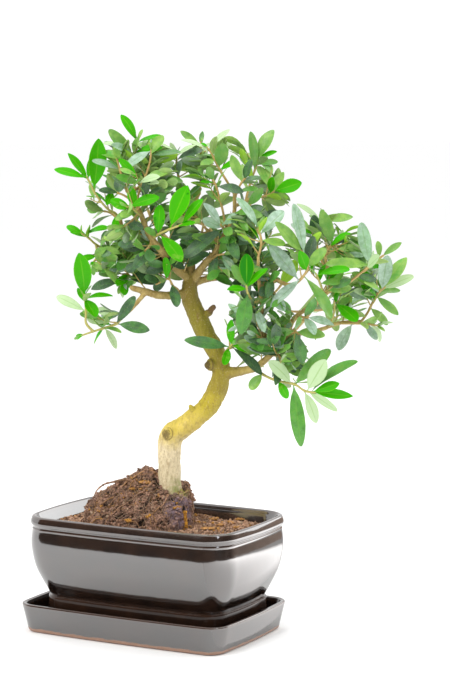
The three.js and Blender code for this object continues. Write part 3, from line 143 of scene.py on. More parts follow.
# Each leafy spray: twigs, leaf pairs of the growing rule, their length, and feature blades as
# [place, u, v, z of the tip, width], as in the part's source.
SPRAYS = [
  ["crest_left", [[[-13, -18, 299], [-12, -12, 313], [-13, -8, 328], [-10, -6, 339]]], 2, 16,
    [[0.73, -29, -12, 347, 8], [0.99, -21, -8, 357, 7], [0.77, -8, -18, 341, 8], [0.98, 8, 2, 342, 7]]],
  ["inner_left", [[[-11, -18, 297], [-8, -22, 306], [-4, -24, 315], [-1, -22, 325], [0, -20, 333]]], 1, 15,
    [[0.37, 5, -35, 311, 8], [0.48, 12, -28, 315, 7], [0.9, 8, -18, 343, 8], [0.99, -18, -28, 320, 8],
      [0.91, 20, -23, 332, 7]]],
  ["left_tall", [[[-17, -16, 306], [-21, -14, 318], [-24, -13, 329]]], 1, 14,
    [[0.61, -40, -20, 326, 7], [0.62, -33, -6, 330, 6], [0.9, -22, -21, 335, 6], [0.5, -22, -20, 305, 8]]],
  ["left_shoulder", [[[-14, -18, 301], [-20, -12, 303], [-27, -6, 305]]], 1, 13,
    [[0.7, -36, -13, 306, 5], [0.98, -31, -12, 296, 6], [0.99, -31, 0, 313, 5]]],
  ["left_wing", [[[-22, 7, 285], [-26, 3, 290], [-31, 0, 293], [-38, -4, 302], [-42, -6, 310],
    [-44, -7, 314]]], 0, 12,
    [[0.77, -36, -11, 341, 13], [0.97, -57, -10, 331, 7], [0.99, -67, -2, 320, 7], [0.98, -42, -15, 329, 5]]],
  ["left_brow", [[[-22, 8, 282], [-26, 12, 287], [-31, 15, 290], [-37, 16, 291]]], 2, 15,
    [[0.98, -46, 17, 292, 6], [0.37, -24, -2, 277, 6]]],
  ["left_mid", [[[-36, 5, 266], [-40, 3, 269], [-44, 0, 273], [-48, -3, 276]],
    [[-39, 4, 268], [-38, -1, 261], [-40, -5, 257]]], 1, 11,
    [[0.98, -59, 0, 281, 5], [0.88, -29, -10, 280, 8], [1.6, -52, -4, 257, 5], [1.98, -44, 0, 247, 6]]],
  ["left_low", [[[-21, -23, 219], [-24, -24, 216], [-30, -26, 214], [-40, -28, 211], [-46, -29, 209]],
    [[-39, -28, 211], [-44, -30, 217], [-44, -31, 225], [-45, -32, 236]]], 2, 12,
    [[0.15, -11, -27, 235, 7], [0.1, 1, -24, 229, 7], [0.14, 1, -27, 216, 9], [0.25, -43, -20, 219, 6],
      [0.45, -24, -23, 199, 6], [0.5, -20, -36, 211, 5], [1.98, -48, -37, 265, 13], [1.93, -37, -40, 222, 10],
      [1.9, -26, -26, 235, 7], [1.6, -64, -27, 235, 7]]],
  ["left_under", [[[-17, 5, 250], [-18, 1, 247], [-20, -2, 243]]], 1, 13,
    [[0.8, -42, -7, 238, 8], [0.56, 9, -11, 244, 10], [0.98, -19, -6, 234, 6]]],
  ["left_over", [[[-14, 4, 250], [-13, -1, 254], [-13, -5, 257]]], 1, 13,
    [[0.5, 7, -6, 254, 7], [0.74, 0, -9, 261, 6], [0.98, -22, -8, 264, 6]]],
  ["mid_left", [[[0, -24, 273], [-1, -30, 269], [-4, -33, 266]]], 2, 14,
    [[0.7, 0, -39, 259, 8], [0.95, -12, -37, 271, 6]]],
  ["low_centre", [[[17, -5, 234], [14, -11, 241], [11, -15, 246], [4, -18, 243]]], 1, 14,
    [[0.68, 9, -22, 261, 6], [0.39, 17, -19, 227, 8], [0.6, 22, -22, 259, 8], [0.95, -5, -22, 248, 6]]],
  ["front_twig", [[[0, -25, 274], [5, -31, 277], [11, -35, 280], [16, -37, 282], [21, -38, 284]]], 0, 13,
    [[0.64, 25, -41, 310, 13], [0.99, 35, -41, 301, 7], [0.85, 31, -45, 288, 7], [0.27, 21, -40, 259, 11],
      [0.24, 6, -33, 297, 8], [0.17, -4, -36, 287, 7]]],
  ["broad_bright", [[[-7, -22, 289], [-11, -28, 293], [-15, -31, 295]]], 2, 14,
    [[0.98, 6, -37, 302, 8], [0.6, -20, -38, 289, 7]]],
  ["mid_top", [[[18, 8, 303], [17, 6, 319], [16, 5, 330]]], 2, 13,
    [[0.46, 25, -1, 329, 7], [0.5, 10, 0, 323, 5], [0.97, 12, 3, 338, 4]]],
  ["top_spire", [[[32, 12, 303], [33, 10, 315], [33, 9, 325], [33, 8, 337]]], 2, 12,
    [[0.59, 26, 5, 329, 4], [0.48, 25, 2, 323, 4], [0.53, 41, 3, 329, 6], [0.96, 19, 12, 346, 5]]],
  ["top_arch", [[[56, -15, 302], [51, -13, 312], [46, -10, 320], [41, -8, 330], [38, -7, 334]]], 2, 14,
    [[0.97, 20, -12, 340, 6], [0.98, 53, -3, 347, 5], [0.58, 48, -14, 338, 10], [0.54, 58, -18, 326, 5],
      [0.75, 33, -14, 323, 6]]],
  ["mid_bright", [[[52, -16, 280], [48, -19, 293], [44, -21, 308], [41, -22, 314]]], 2, 15,
    [[0.96, 38, -26, 322, 6], [0.92, 33, -26, 312, 5], [0.83, 62, -25, 305, 7]]],
  ["crown_front", [[[56, -16, 295], [57, -20, 303], [60, -22, 310], [63, -22, 314]]], 2, 14,
    [[0.85, 54, -26, 330, 7], [0.98, 68, -25, 327, 8], [0.89, 74, -17, 315, 6]]],
  ["top_right", [[[65, -9, 299], [67, -1, 311], [70, 2, 319], [72, 3, 327]]], 2, 14,
    [[0.72, 65, 4, 344, 7], [0.95, 82, 0, 346, 10], [0.97, 84, -3, 332, 5], [0.86, 86, 8, 325, 5]]],
  ["right_top", [[[71, -6, 301], [78, -4, 302], [83, -3, 305]]], 2, 13,
    [[0.97, 102, -6, 311, 10], [0.8, 82, -13, 315, 6], [0.6, 90, 3, 318, 7]]],
  ["mid_dark", [[[56, -16, 290], [62, -21, 294], [66, -25, 296]]], 2, 15,
    [[0.94, 79, -29, 288, 8]]],
  ["fork_tip", [[[37, -20, 280], [33, -23, 285], [30, -24, 289]]], 2, 15,
    [[0.9, 25, -28, 300, 7]]],
  ["fork_mid", [[[50, -15, 276], [49, -22, 280], [47, -28, 283]]], 1, 15,
    [[0.94, 35, -32, 298, 8], [0.96, 61, -33, 291, 8], [0.6, 22, -28, 261, 10], [0.5, 59, -29, 260, 8]]],
  ["fork_low", [[[40, -10, 261], [44, -17, 262], [48, -21, 263]]], 1, 13,
    [[0.66, 40, -21, 247, 7], [0.95, 55, -26, 252, 7]]],
  ["silver_pair", [[[72, -35, 262], [74, -37, 272], [72, -38, 281]]], 2, 15,
    [[0.98, 57, -44, 302, 9], [0.78, 89, -40, 293, 10], [0.6, 90, -40, 271, 6]]],
  ["bright_trio", [[[74, -32, 233], [69, -38, 232], [65, -42, 238], [64, -43, 243]]], 0, 12,
    [[0.98, 64, -47, 265, 10], [0.97, 53, -49, 259, 8], [0.96, 78, -46, 255, 6], [0.9, 51, -48, 241, 6],
      [0.76, 60, -48, 211, 11]]],
  ["heart_left", [[[84, -25, 246], [81, -31, 241], [80, -34, 236]]], 2, 14,
    [[0.5, 71, -38, 233, 9], [0.85, 90, -37, 226, 7]]],
  ["right_heart", [[[97, -33, 244], [102, -36, 249], [105, -38, 255], [104, -39, 261], [101, -39, 266]]],
    1, 14,
    [[0.97, 83, -45, 286, 9], [0.89, 95, -42, 298, 9], [0.45, 99, -47, 267, 8], [0.61, 109, -32, 276, 8],
      [0.56, 117, -43, 268, 8], [0.3, 121, -42, 221, 10], [0.12, 79, -36, 271, 10], [0.2, 80, -42, 229, 8]]],
  ["two_tone", [[[117, -26, 236], [114, -33, 243], [111, -37, 250]]], 1, 13,
    [[0.98, 133, -41, 254, 9], [0.57, 127, -36, 245, 6]]],
  ["right_spur", [[[134, -28, 245], [139, -28, 249], [145, -28, 254], [150, -26, 258], [156, -24, 262]]],
    1, 13,
    [[0.6, 141, -30, 285, 9], [0.51, 153, -38, 263, 8], [0.62, 117, -35, 257, 9], [0.2, 152, -24, 246, 6],
      [0.98, 169, -21, 271, 5], [0.88, 153, -21, 272, 5]]],
  ["upper_right", [[[118, -8, 260], [121, -9, 267], [127, -10, 271]]], 1, 14,
    [[0.5, 135, -15, 277, 7], [0.69, 115, -12, 293, 9], [0.97, 139, -6, 268, 6]]],
  ["upper_back", [[[119, -12, 254], [113, -3, 265], [113, 3, 276], [116, 6, 285]]], 2, 15,
    [[0.58, 110, -6, 289, 8], [0.98, 138, 11, 287, 7], [0.97, 99, 9, 296, 5]]],
  ["right_tip", [[[143, -5, 216], [148, -6, 223], [153, -8, 234], [158, -9, 239]]], 1, 13,
    [[0.95, 160, -15, 262, 10], [0.98, 174, -6, 260, 9], [0.99, 183, -12, 247, 8], [0.86, 170, -2, 237, 5],
      [0.73, 168, -12, 221, 7], [0.4, 161, -10, 214, 6], [0.62, 150, -14, 247, 6]]],
  ["right_low", [[[130, -7, 216], [137, -10, 215], [145, -12, 215], [153, -14, 214]]], 2, 12,
    [[0.66, 154, -18, 205, 6], [0.3, 127, -15, 197, 9], [0.98, 164, -16, 216, 4]]],
  ["heart_leaf", [[[122, -8, 213], [124, -14, 223], [124, -18, 230]]], 1, 13,
    [[0.98, 139, -28, 218, 13], [0.7, 113, -20, 230, 6]]],
  ["arm_low", [[[99, -22, 222], [102, -28, 221], [105, -32, 221]]], 1, 13,
    [[0.95, 123, -35, 216, 7]]],
  ["node_low", [[[92, -22, 211], [96, -28, 212], [98, -32, 211]]], 1, 14,
    [[0.9, 117, -34, 209, 8], [0.68, 81, -34, 210, 7], [0.89, 102, -37, 190, 9]]],
  ["mass_left", [[[75, -28, 220], [72, -34, 224], [69, -37, 229]]], 1, 14,
    [[0.88, 76, -42, 212, 7]]],
  ["mass_low", [[[77, -24, 206], [75, -30, 207], [72, -33, 208]]], 1, 13,
    [[0.63, 90, -38, 201, 8]]],
  ["trunk_spray", [[[46, -3, 190], [50, -12, 196], [54, -20, 201]]], 0, 13,
    [[0.83, 22, -24, 205, 9], [0.98, 54, -24, 219, 6], [0.97, 68, -24, 197, 6], [0.9, 79, -23, 184, 9],
      [0.7, 49, -24, 188, 6], [0.86, 65, -12, 209, 5]]],
  ["low_dark", [[[82, -20, 196], [85, -27, 196], [87, -31, 194]]], 1, 13,
    [[0.8, 66, -34, 201, 8]]],
  ["low_right", [[[71, -18, 186], [83, -26, 178], [96, -32, 176], [103, -36, 172], [109, -38, 171]]], 0, 12,
    [[0.1, 67, -24, 171, 8], [0.61, 79, -36, 192, 10], [0.4, 93, -36, 167, 7], [0.65, 101, -38, 134, 10],
      [0.68, 121, -28, 199, 10], [0.9, 117, -44, 194, 12], [0.97, 139, -36, 192, 10],
      [0.98, 128, -43, 182, 8], [0.99, 136, -35, 168, 7], [0.85, 108, -31, 145, 8],
      [0.92, 125, -44, 159, 6]]],
  ["left_inner", [[[-8, -20, 290], [-13, -25, 286], [-18, -28, 282]]], 2, 14,
    [[0.82, -5, -32, 281, 7]]],
  ["left_fill", [[[-21, 9, 273], [-16, 16, 272], [-11, 21, 272]]], 2, 14, []],
  ["back_top_low", [[[34, 24, 273], [35, 30, 283], [36, 34, 294]]], 2, 18, []],
  ["back_top_end", [[[59, 50, 288], [65, 52, 294], [69, 52, 303]]], 2, 18, []],
  ["back_left_end", [[[-5, 44, 291], [-8, 45, 300], [-9, 44, 310]]], 2, 18, []],
  ["back_left_low", [[[2, 38, 278], [-3, 44, 273], [-10, 48, 270]]], 2, 15, []],
  ["back_right_end", [[[94, 45, 219], [102, 48, 218], [109, 49, 220]]], 2, 18, []],
  ["back_right_high", [[[83, 34, 230], [89, 42, 237], [94, 47, 246]]], 2, 16, []],
  ["back_low_end", [[[120, 40, 232], [124, 42, 241], [126, 42, 251]]], 2, 18, []],
  ["back_low_side", [[[111, 24, 222], [119, 30, 221], [128, 34, 223]]], 2, 15, []],
]

# Roots that show on the root ball, as [u, v] along each.
SURFACE_ROOTS = [
  [[1, -3], [-8, -9], [-20, -12], [-31, -15]],
  [[11, -9], [6, -18], [-3, -25]],
  [[19, -1], [21, -6], [18, -12]],
  [[5, 11], [-8, 16], [-20, 21]],
  [[1, 4], [-16, 3], [-28, -3], [-42, -2]],
]
SURFACE_ROOT_RADIUS = 1.1
# Chips of bark half sunk in the soil or in the root ball, as [u, v, length, turn, tilt].
SOIL_CHIPS = [[38, -18, 10, 20, 8], [46, -6, 8, 80, 5], [54, 4, 9, 140, 6], [42, 18, 9, 60, 7],
  [-46, 24, 9, 100, 5], [60, 16, 8, 30, 8]]
ROOT_CHIPS = [[-6, -3, 9, 15, 20], [-14, -4, 8, 60, 18], [-38, -6, 7, 130, 20], [-3, -24, 8, 100, 30],
  [-15, -23, 9, 35, 30], [17, -16, 8, 70, 40]]

# The tone of each spray's feature leaves, one letter a leaf, in the order of its feature blades.
TONES = {
  "crest_left": "mymy", "inner_left": "pmmsd", "left_tall": "smmd", "left_shoulder": "dym",
  "left_wing": "yyyy", "left_brow": "my", "left_mid": "yyyp", "left_low": "dddypmyyyp",
  "left_under": "ddy", "left_over": "ddm", "mid_left": "dm", "low_centre": "yddd",
  "front_twig": "yyyyym", "broad_bright": "ym", "mid_top": "sdp", "top_spire": "dpmm",
  "top_arch": "ppmym", "mid_bright": "myd", "crown_front": "mdd", "top_right": "mmym",
  "right_top": "yym", "mid_dark": "d", "fork_tip": "m", "fork_mid": "ssdd", "fork_low": "ds",
  "silver_pair": "ssm", "bright_trio": "gmyyf", "heart_left": "ds", "right_heart": "msydmmss",
  "two_tone": "ym", "right_spur": "spmdmm", "upper_right": "ymd", "upper_back": "dmp",
  "right_tip": "slpmmmd", "right_low": "ssp", "heart_leaf": "ym", "arm_low": "s",
  "node_low": "mmd", "mass_left": "s", "mass_low": "s", "trunk_spray": "dyydyp", "low_dark": "d",
  "low_right": "mpyffpfyypp", "left_inner": "d",
}
# What a tone letter means, as (youth, share of painted silvery sheen, pale).
TONE_VALUES = {
  "d": (0.06, 0.12, 0),  # dark and full grown
  "f": (0.3, 0.05, 0),  # full fresh green
  "m": (0.45, 0.08, 0),  # middle green
  "l": (0.58, 0.08, 0.1),  # light and yellowish
  "y": (0.83, 0, 0),  # young and bright
  "g": (1.3, 0, 0),  # the deep green of a young leaf that has filled out
  "s": (0.16, 0.9, 0),  # silvery from a painted sheen that stands in for its gloss
  "p": (0.5, 0.2, 0.85),  # turned over, so that its pale underside shows
}
# Sprays of young growth, and sprays inside the crown; the others are outer ones. The leaves without
# a tone of their own draw it from their spray's letters, so that a letter is as likely as it is often.
BRIGHT_SPRAYS = ("left_wing", "left_low", "left_mid", "front_twig", "broad_bright", "bright_trio",
  "low_right", "trunk_spray", "two_tone", "heart_leaf")
INNER_SPRAYS = ("mid_left", "low_centre", "fork_low", "fork_mid", "heart_left", "mass_left", "mass_low",
  "low_dark", "node_low", "mid_dark", "left_fill", "front_twig", "broad_bright")
BRIGHT_ODDS = "yyyllm"
# Sprays inside the crown draw darker tones than outer ones: older leaves, and painted shade of the crown's
# inside.
INNER_DARK_AND_SHADED_ODDS = "dddddffmms"
OUTER_ODDS = "dffmmmllllsyp"


# ---- Draws, lines and closed forms -------------------------------------------------------------------
def seeded(seed):
    """The part's own draw of numbers from 0 to 1 (mulberry32), the same for the same seed."""
    mask = 0xFFFFFFFF
    state = seed & mask

    def draw():
        nonlocal state
        state = (state + 0x6D2B79F5) & mask
        t = state
        t = ((t ^ (t >> 15)) * (t | 1)) & mask
        t = (t ^ (t + (t ^ (t >> 7)) * (t | 61))) & mask
        return ((t ^ (t >> 14)) & mask) / (mask + 1)

    return draw


def tree(u, v, z):
    """A place in the row frame from one in the tree's own frame."""
    return Vector((u * TURN_COS - v * TURN_SIN, u * TURN_SIN + v * TURN_COS, z))


def to_tree(p):
    """A place in the tree's own frame from one in the row frame."""
    return (p.x * TURN_COS + p.y * TURN_SIN, -p.x * TURN_SIN + p.y * TURN_COS, p.z)


def smooth_line(points, steps):
    """A curve through every point (Catmull-Rom), with a fixed number of steps between two points."""
    rows = np.array(points, float)
    last = len(rows) - 1
    line = []
    for i in range(last):
        a, b, c, d = (rows[min(max(k, 0), last)] for k in (i - 1, i, i + 1, i + 2))
        for k in range(steps):
            t = k / steps
            line.append(b + 0.5 * t * (c - a + t * (2 * a - 5 * b + 4 * c - d + t * (3 * (b - c) + d - a))))
    line.append(rows[last])
    return line


class Form:
    """Points, faces, material numbers and point values of one piece, gathered in millimetres."""

    def __init__(self):
        self.points = []
        self.faces = []
        self.slots = []
        self.tint = []
        self.place = []

    def add(self, points, faces, slot=0, tint=(0, 0, 0), place=None):
        start = len(self.points)
        self.points.extend(points)
        self.faces.extend([start + i for i in face] for face in faces)
        self.slots.extend(slot if isinstance(slot, list) else [slot] * len(faces))
        self.tint.extend([tint] * len(points))
        self.place.extend(place or [(0, 0, 0)] * len(points))

    def mesh(self, name):
        mesh = bpy.data.meshes.new(name)
        mesh.from_pydata([tuple(p * MM for p in point) for point in self.points], [], self.faces)
        mesh.polygons.foreach_set("material_index", self.slots)
        keep_values(mesh, "tint", self.tint)
        keep_values(mesh, "place", self.place)
        return mesh


def keep_values(mesh, key, rows):
    """Keeps three numbers a point on a mesh, for its material to read."""
    if key in mesh.attributes:
        mesh.attributes.remove(mesh.attributes[key])
    values = mesh.attributes.new(key, "FLOAT_VECTOR", "POINT")
    values.data.foreach_set("vector", np.array(rows, np.float32).ravel())


def show(mesh, name, materials, node, crease=50):
    """Makes a mesh the piece of the object that stands for a CAD node."""
    for material in materials:
        mesh.materials.append(material)
    mesh.shade_smooth()
    mesh.set_sharp_from_angle(angle=math.radians(crease))
    piece = bpy.data.objects.new(name, mesh)
    bpy.context.scene.collection.objects.link(piece)
    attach(piece, "root")
    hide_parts(node)


def loft(rings):
    """Closed solid through rings of the same number of points."""
    count = len(rings[0])
    points = [p for ring in rings for p in ring]
    faces = [list(range(count - 1, -1, -1))]
    for row in range(len(rings) - 1):
        for k in range(count):
            a = row * count + k
            b = row * count + (k + 1) % count
            faces.append([a, b, b + count, a + count])
    faces.append(list(range((len(rings) - 1) * count, len(rings) * count)))
    return points, faces


def tube(centres, radii, sides):
    """A round solid along a line of points, that turns as little as it can about the line."""
    rings = []
    across = None
    for i, centre in enumerate(centres):
        along = centres[min(i + 1, len(centres) - 1)] - centres[max(i - 1, 0)]
        along.normalize()
        across = along.orthogonal() if across is None else across - along * across.dot(along)
        across.normalize()
        up = along.cross(across)
        angles = [2 * math.pi * k / sides for k in range(sides)]
        rings.append([centre + (across * math.cos(a) + up * math.sin(a)) * radii[i] for a in angles])
    return loft(rings)


def tree_tube(line, sides):
    """A tube along [u, v, z, radius] rows, with a rounded end."""
    centres = [tree(*row[:3]) for row in line]
    radii = [row[3] for row in line]
    end = (centres[-1] - centres[-2]).normalized()
    centres += [centres[-1] + end * radii[-1] * 0.5, centres[-1] + end * radii[-1] * 0.8]
    radii += [radii[-1] * 0.8, radii[-1] * 0.3]
    return tube(centres, radii, sides)


# ---- Node trees --------------------------------------------------------------------------------------
class Look:
    """A material, with short calls for the nodes that the looks share. Sizes are in millimetres."""

    def __init__(self, name):
        self.material = bpy.data.materials.new(name)
        self.material.use_nodes = True
        self.tree = self.material.node_tree
        self.shader = self.tree.nodes["Principled BSDF"]
        self.coords = self.node("ShaderNodeTexCoord").outputs["Object"]

    def node(self, kind, **settings):
        made = self.tree.nodes.new(kind)
        for key, value in settings.items():
            setattr(made, key, value)
        return made

    def wire(self, socket, value):
        if isinstance(value, bpy.types.NodeSocket):
            self.tree.links.new(value, socket)
        else:
            socket.default_value = value

    def set(self, **values):
        for key, value in values.items():
            self.wire(self.shader.inputs[key.replace("_", " ")], value)

    def stretched(self, x, y, z):
        """The coordinates with each axis scaled, so that a pattern is drawn out along it."""
        mapping = self.node("ShaderNodeMapping")
        self.wire(mapping.inputs["Vector"], self.coords)
        mapping.inputs["Scale"].default_value = (x, y, z)
        return mapping.outputs["Vector"]

    def noise(self, size, detail=4, roughness=0.55, coords=None, distortion=0):
        made = self.node("ShaderNodeTexNoise")
        self.wire(made.inputs["Vector"], coords or self.coords)
        made.inputs["Scale"].default_value = 1 / (size * MM)
        made.inputs["Detail"].default_value = detail
        made.inputs["Roughness"].default_value = roughness
        made.inputs["Distortion"].default_value = distortion
        return made.outputs["Fac"]

    def ramp(self, value, *stops):
        """Colour by value, from (place, colour) stops."""
        made = self.node("ShaderNodeValToRGB")
        self.wire(made.inputs["Fac"], value)
        band = made.color_ramp
        for index, (place, colour) in enumerate(stops):
            stop = band.elements[index] if index < 2 else band.elements.new(place)
            stop.position = place
            stop.color = (*colour, 1)
        return made.outputs["Color"]

    def mix(self, share, low, high, blend="MIX"):
        made = self.node("ShaderNodeMix", data_type="RGBA", blend_type=blend)
        colours = [c if isinstance(c, bpy.types.NodeSocket) else (*c, 1) for c in (low, high)]
        self.wire(made.inputs[0], share)
        self.wire(made.inputs[6], colours[0])
        self.wire(made.inputs[7], colours[1])
        return made.outputs[2]

    def math(self, operation, a, b=0.0):
        made = self.node("ShaderNodeMath", operation=operation)
        self.wire(made.inputs[0], a)
        self.wire(made.inputs[1], b)
        return made.outputs[0]

    def plus(self, a, b):
        return self.math("ADD", a, b)

    def times(self, a, b):
        return self.math("MULTIPLY", a, b)

    def between(self, value, low, high, out_low=0.0, out_high=1.0):
        """A value's share of the way from low to high, held inside the two outer values."""
        made = self.node("ShaderNodeMapRange")
        for socket, number in zip(made.inputs[:5], (value, low, high, out_low, out_high)):
            self.wire(socket, number)
        return made.outputs[0]

    def axes(self, vector=None):
        split = self.node("ShaderNodeSeparateXYZ")
        self.wire(split.inputs[0], vector or self.coords)
        return split.outputs

    def point_values(self, key):
        """The three numbers that a piece's mesh keeps under a key at each point."""
        return self.axes(self.node("ShaderNodeAttribute", attribute_name=key).outputs["Vector"])

    def bump(self, height, depth, strength=1.0, under=None):
        made = self.node("ShaderNodeBump")
        made.inputs["Distance"].default_value = depth * MM
        made.inputs["Strength"].default_value = strength
        self.wire(made.inputs["Height"], height)
        if under:
            self.wire(made.inputs["Normal"], under)
        return made.outputs["Normal"]


def leaf_look(name, tones, painted_sheen_colour, pale, roughness, underside):
    """Leaf skin by youth, with gloss, a painted silvery sheen, midrib, light edges, specks and fine veins."""
    dark, fresh, middle, light, young, deep = tones
    look = Look(name)
    youth, painted_sheen_share, faded = look.point_values("tint")
    across, along, _ = look.point_values("place")
    shifted = look.plus(youth, look.between(look.noise(5, 3), 0.35, 0.65, -0.08, 0.08))
    colour = look.ramp(shifted, (0, dark), (0.3, fresh), (0.45, middle), (0.6, light), (0.72, young),
                       (0.97, young), (1, deep))
    mottled = look.noise(0.9, 4, 0.7)
    colour = look.mix(look.between(mottled, 0.3, 0.75, 0, 0.3), colour, (0.45, 0.6, 0.3), "SOFT_LIGHT")
    # Painted sheen: silvery patches mixed into the colour, standing in for the gloss's highlights.
    painted_sheen_patches = look.between(look.noise(3.4, 4, 0.6), 0.36, 0.64, 0.45, 0.85)
    colour = look.mix(look.times(painted_sheen_share, painted_sheen_patches), colour, painted_sheen_colour)
    colour = look.mix(faded, colour, pale)
    specks = look.math("GREATER_THAN", look.noise(0.42, 2, 0.5), 0.7)
    colour = look.mix(look.times(specks, look.between(youth, 0.2, 0.6, 0.6, 0)), colour, (0.5, 0.6, 0.5))
    off_middle = look.math("ABSOLUTE", across)
    rib = look.times(look.between(off_middle, 0.03, 0.11, 1, 0), look.between(along, 0.8, 1, 0.4, 0))
    colour = look.mix(rib, colour, look.mix(youth, (0.12, 0.22, 0.05), (0.2, 0.55, 0.02)))
    edge = look.between(off_middle, 0.86, 1, 0, 0.4)
    colour = look.mix(edge, colour, look.mix(youth, (0.13, 0.22, 0.06), (0.3, 0.7, 0.02)))
    rough = look.between(look.noise(1.6, 4), 0.3, 0.7, roughness - 0.08, roughness + 0.12)
    level = look.between(youth, 0.4, 0.75, 0.25 if underside else 0.5, 0.08)
    side_veins = look.math("SINE", look.math("SUBTRACT", look.times(along, 26), look.times(off_middle, 5)))
    relief = look.plus(look.times(side_veins, 0.25), look.noise(0.7, 3))
    relief = look.plus(relief, look.times(rib, 1.0 if underside else -1.0))
    look.set(Base_Color=colour, Roughness=rough, Specular_IOR_Level=level)
    look.set(Normal=look.bump(relief, 0.12, 0.6))
    return look.material


def twig_look():
    """Bark of young stems: green while they grow, tan later."""
    look = Look("young_twig")
    youth = look.point_values("tint")[0]
    colour = look.mix(youth, (0.44, 0.22, 0.06), (0.38, 0.44, 0.07))
    streaks = look.noise(1.4, 5, 0.6, look.stretched(1, 1, 0.4))
    colour = look.mix(look.between(streaks, 0.35, 0.7, 0, 0.6), colour, (0.55, 0.42, 0.2))
    look.set(Base_Color=colour, Roughness=look.between(streaks, 0.3, 0.7, 0.5, 0.75))
    look.set(Normal=look.bump(look.noise(0.6, 4), 0.15, 0.7))
    return look.material


# The trunk's colour by height, as shares of the way from its foot to its fork.
BARK_ZONES = (
  (0, (0.62, 0.52, 0.33)), (0.18, (0.8, 0.68, 0.44)), (0.29, (0.7, 0.54, 0.11)), (0.375, (0.48, 0.38, 0.03)),
  (0.46, (0.32, 0.25, 0.026)), (0.715, (0.25, 0.215, 0.018)), (0.94, (0.24, 0.17, 0.03)),
)


def bark_look():
    """Bark by height and girth: cream at the foot, gold on the bend, olive brown above, tan on branches, with
    painted shade on the undersides.
    """
    look = Look("olive_bark")
    girth, knot, under = look.point_values("place")
    stub = look.point_values("tint")[0]
    x, y, z = look.axes()
    height = look.plus(z, look.between(look.noise(11, 5, 0.6), 0.3, 0.7, -0.007, 0.007))
    zones = look.ramp(look.between(height, 0.095, 0.26), *BARK_ZONES)
    tan = look.ramp(look.noise(6, 4), (0.3, (0.36, 0.24, 0.07)), (0.7, (0.6, 0.46, 0.17)))
    colour = look.mix(look.between(girth, 0.1, 0.32), tan, zones)
    streaks = look.noise(2.2, 6, 0.65, look.stretched(1, 1, 0.35), 0.4)
    colour = look.mix(look.between(streaks, 0.5, 0.72, 0, 0.6), colour, (0.2, 0.12, 0.05))
    flakes = look.noise(1.1, 5, 0.7)
    colour = look.mix(look.between(flakes, 0.56, 0.7, 0, 0.4), colour, (0.72, 0.62, 0.36))
    # Painted shade: darker where the skin faces down, under the trunk and branches.
    colour = look.mix(look.between(under, 0, 1, 0, 0.35), colour, (0.24, 0.2, 0.1))
    specks = look.between(look.noise(0.8, 3, 0.6), 0.66, 0.72, 0, 0.8)
    colour = look.mix(specks, colour, (0.12, 0.07, 0.035))
    mottle = look.between(look.noise(1.7, 5, 0.7), 0.5, 0.62)
    low_down = look.between(z, 0.118, 0.15, 0.55, 0)
    colour = look.mix(look.times(mottle, low_down), colour, (0.4, 0.29, 0.15))
    to_right = look.plus(look.times(x, TURN_COS), look.times(y, TURN_SIN))
    at_foot = look.times(look.between(z, 0.096, 0.112, 0.9, 0), look.between(to_right, 0.009, 0.015))
    moss = look.times(at_foot, look.between(look.noise(4.5, 5, 0.65), 0.38, 0.56))
    colour = look.mix(moss, colour, (0.2, 0.25, 0.04))
    ragged = look.plus(knot, look.between(flakes, 0.3, 0.7, -0.7, 0.7))
    # Painted shade in the crease where each healed cut's knot meets the trunk, joined to the cut's own dark
    # ragged rim.
    crease = look.times(look.between(knot, 3.9, 4.3, 0, 0.6), look.between(knot, 4.5, 5.2, 1, 0))
    scar_and_crease_shade = look.math("MAXIMUM", look.between(ragged, 2.6, 3.3, 1, 0), crease)
    colour = look.mix(look.times(scar_and_crease_shade, look.between(flakes, 0.35, 0.6, 0.55, 1)), colour, (0.07, 0.04, 0.02))
    dead = look.times(stub, look.between(flakes, 0.35, 0.6, 0.95, 0.5))
    colour = look.mix(dead, colour, (0.16, 0.075, 0.055))
    rough = look.between(streaks, 0.3, 0.7, 0.55, 0.85)
    relief = look.plus(look.times(streaks, 1.2), flakes)
    bumps = look.bump(look.noise(0.5, 4), 0.12, 0.5, look.bump(relief, 0.5, 0.8))
    look.set(Base_Color=colour, Roughness=rough, Specular_IOR_Level=0.25, Normal=bumps)
    return look.material


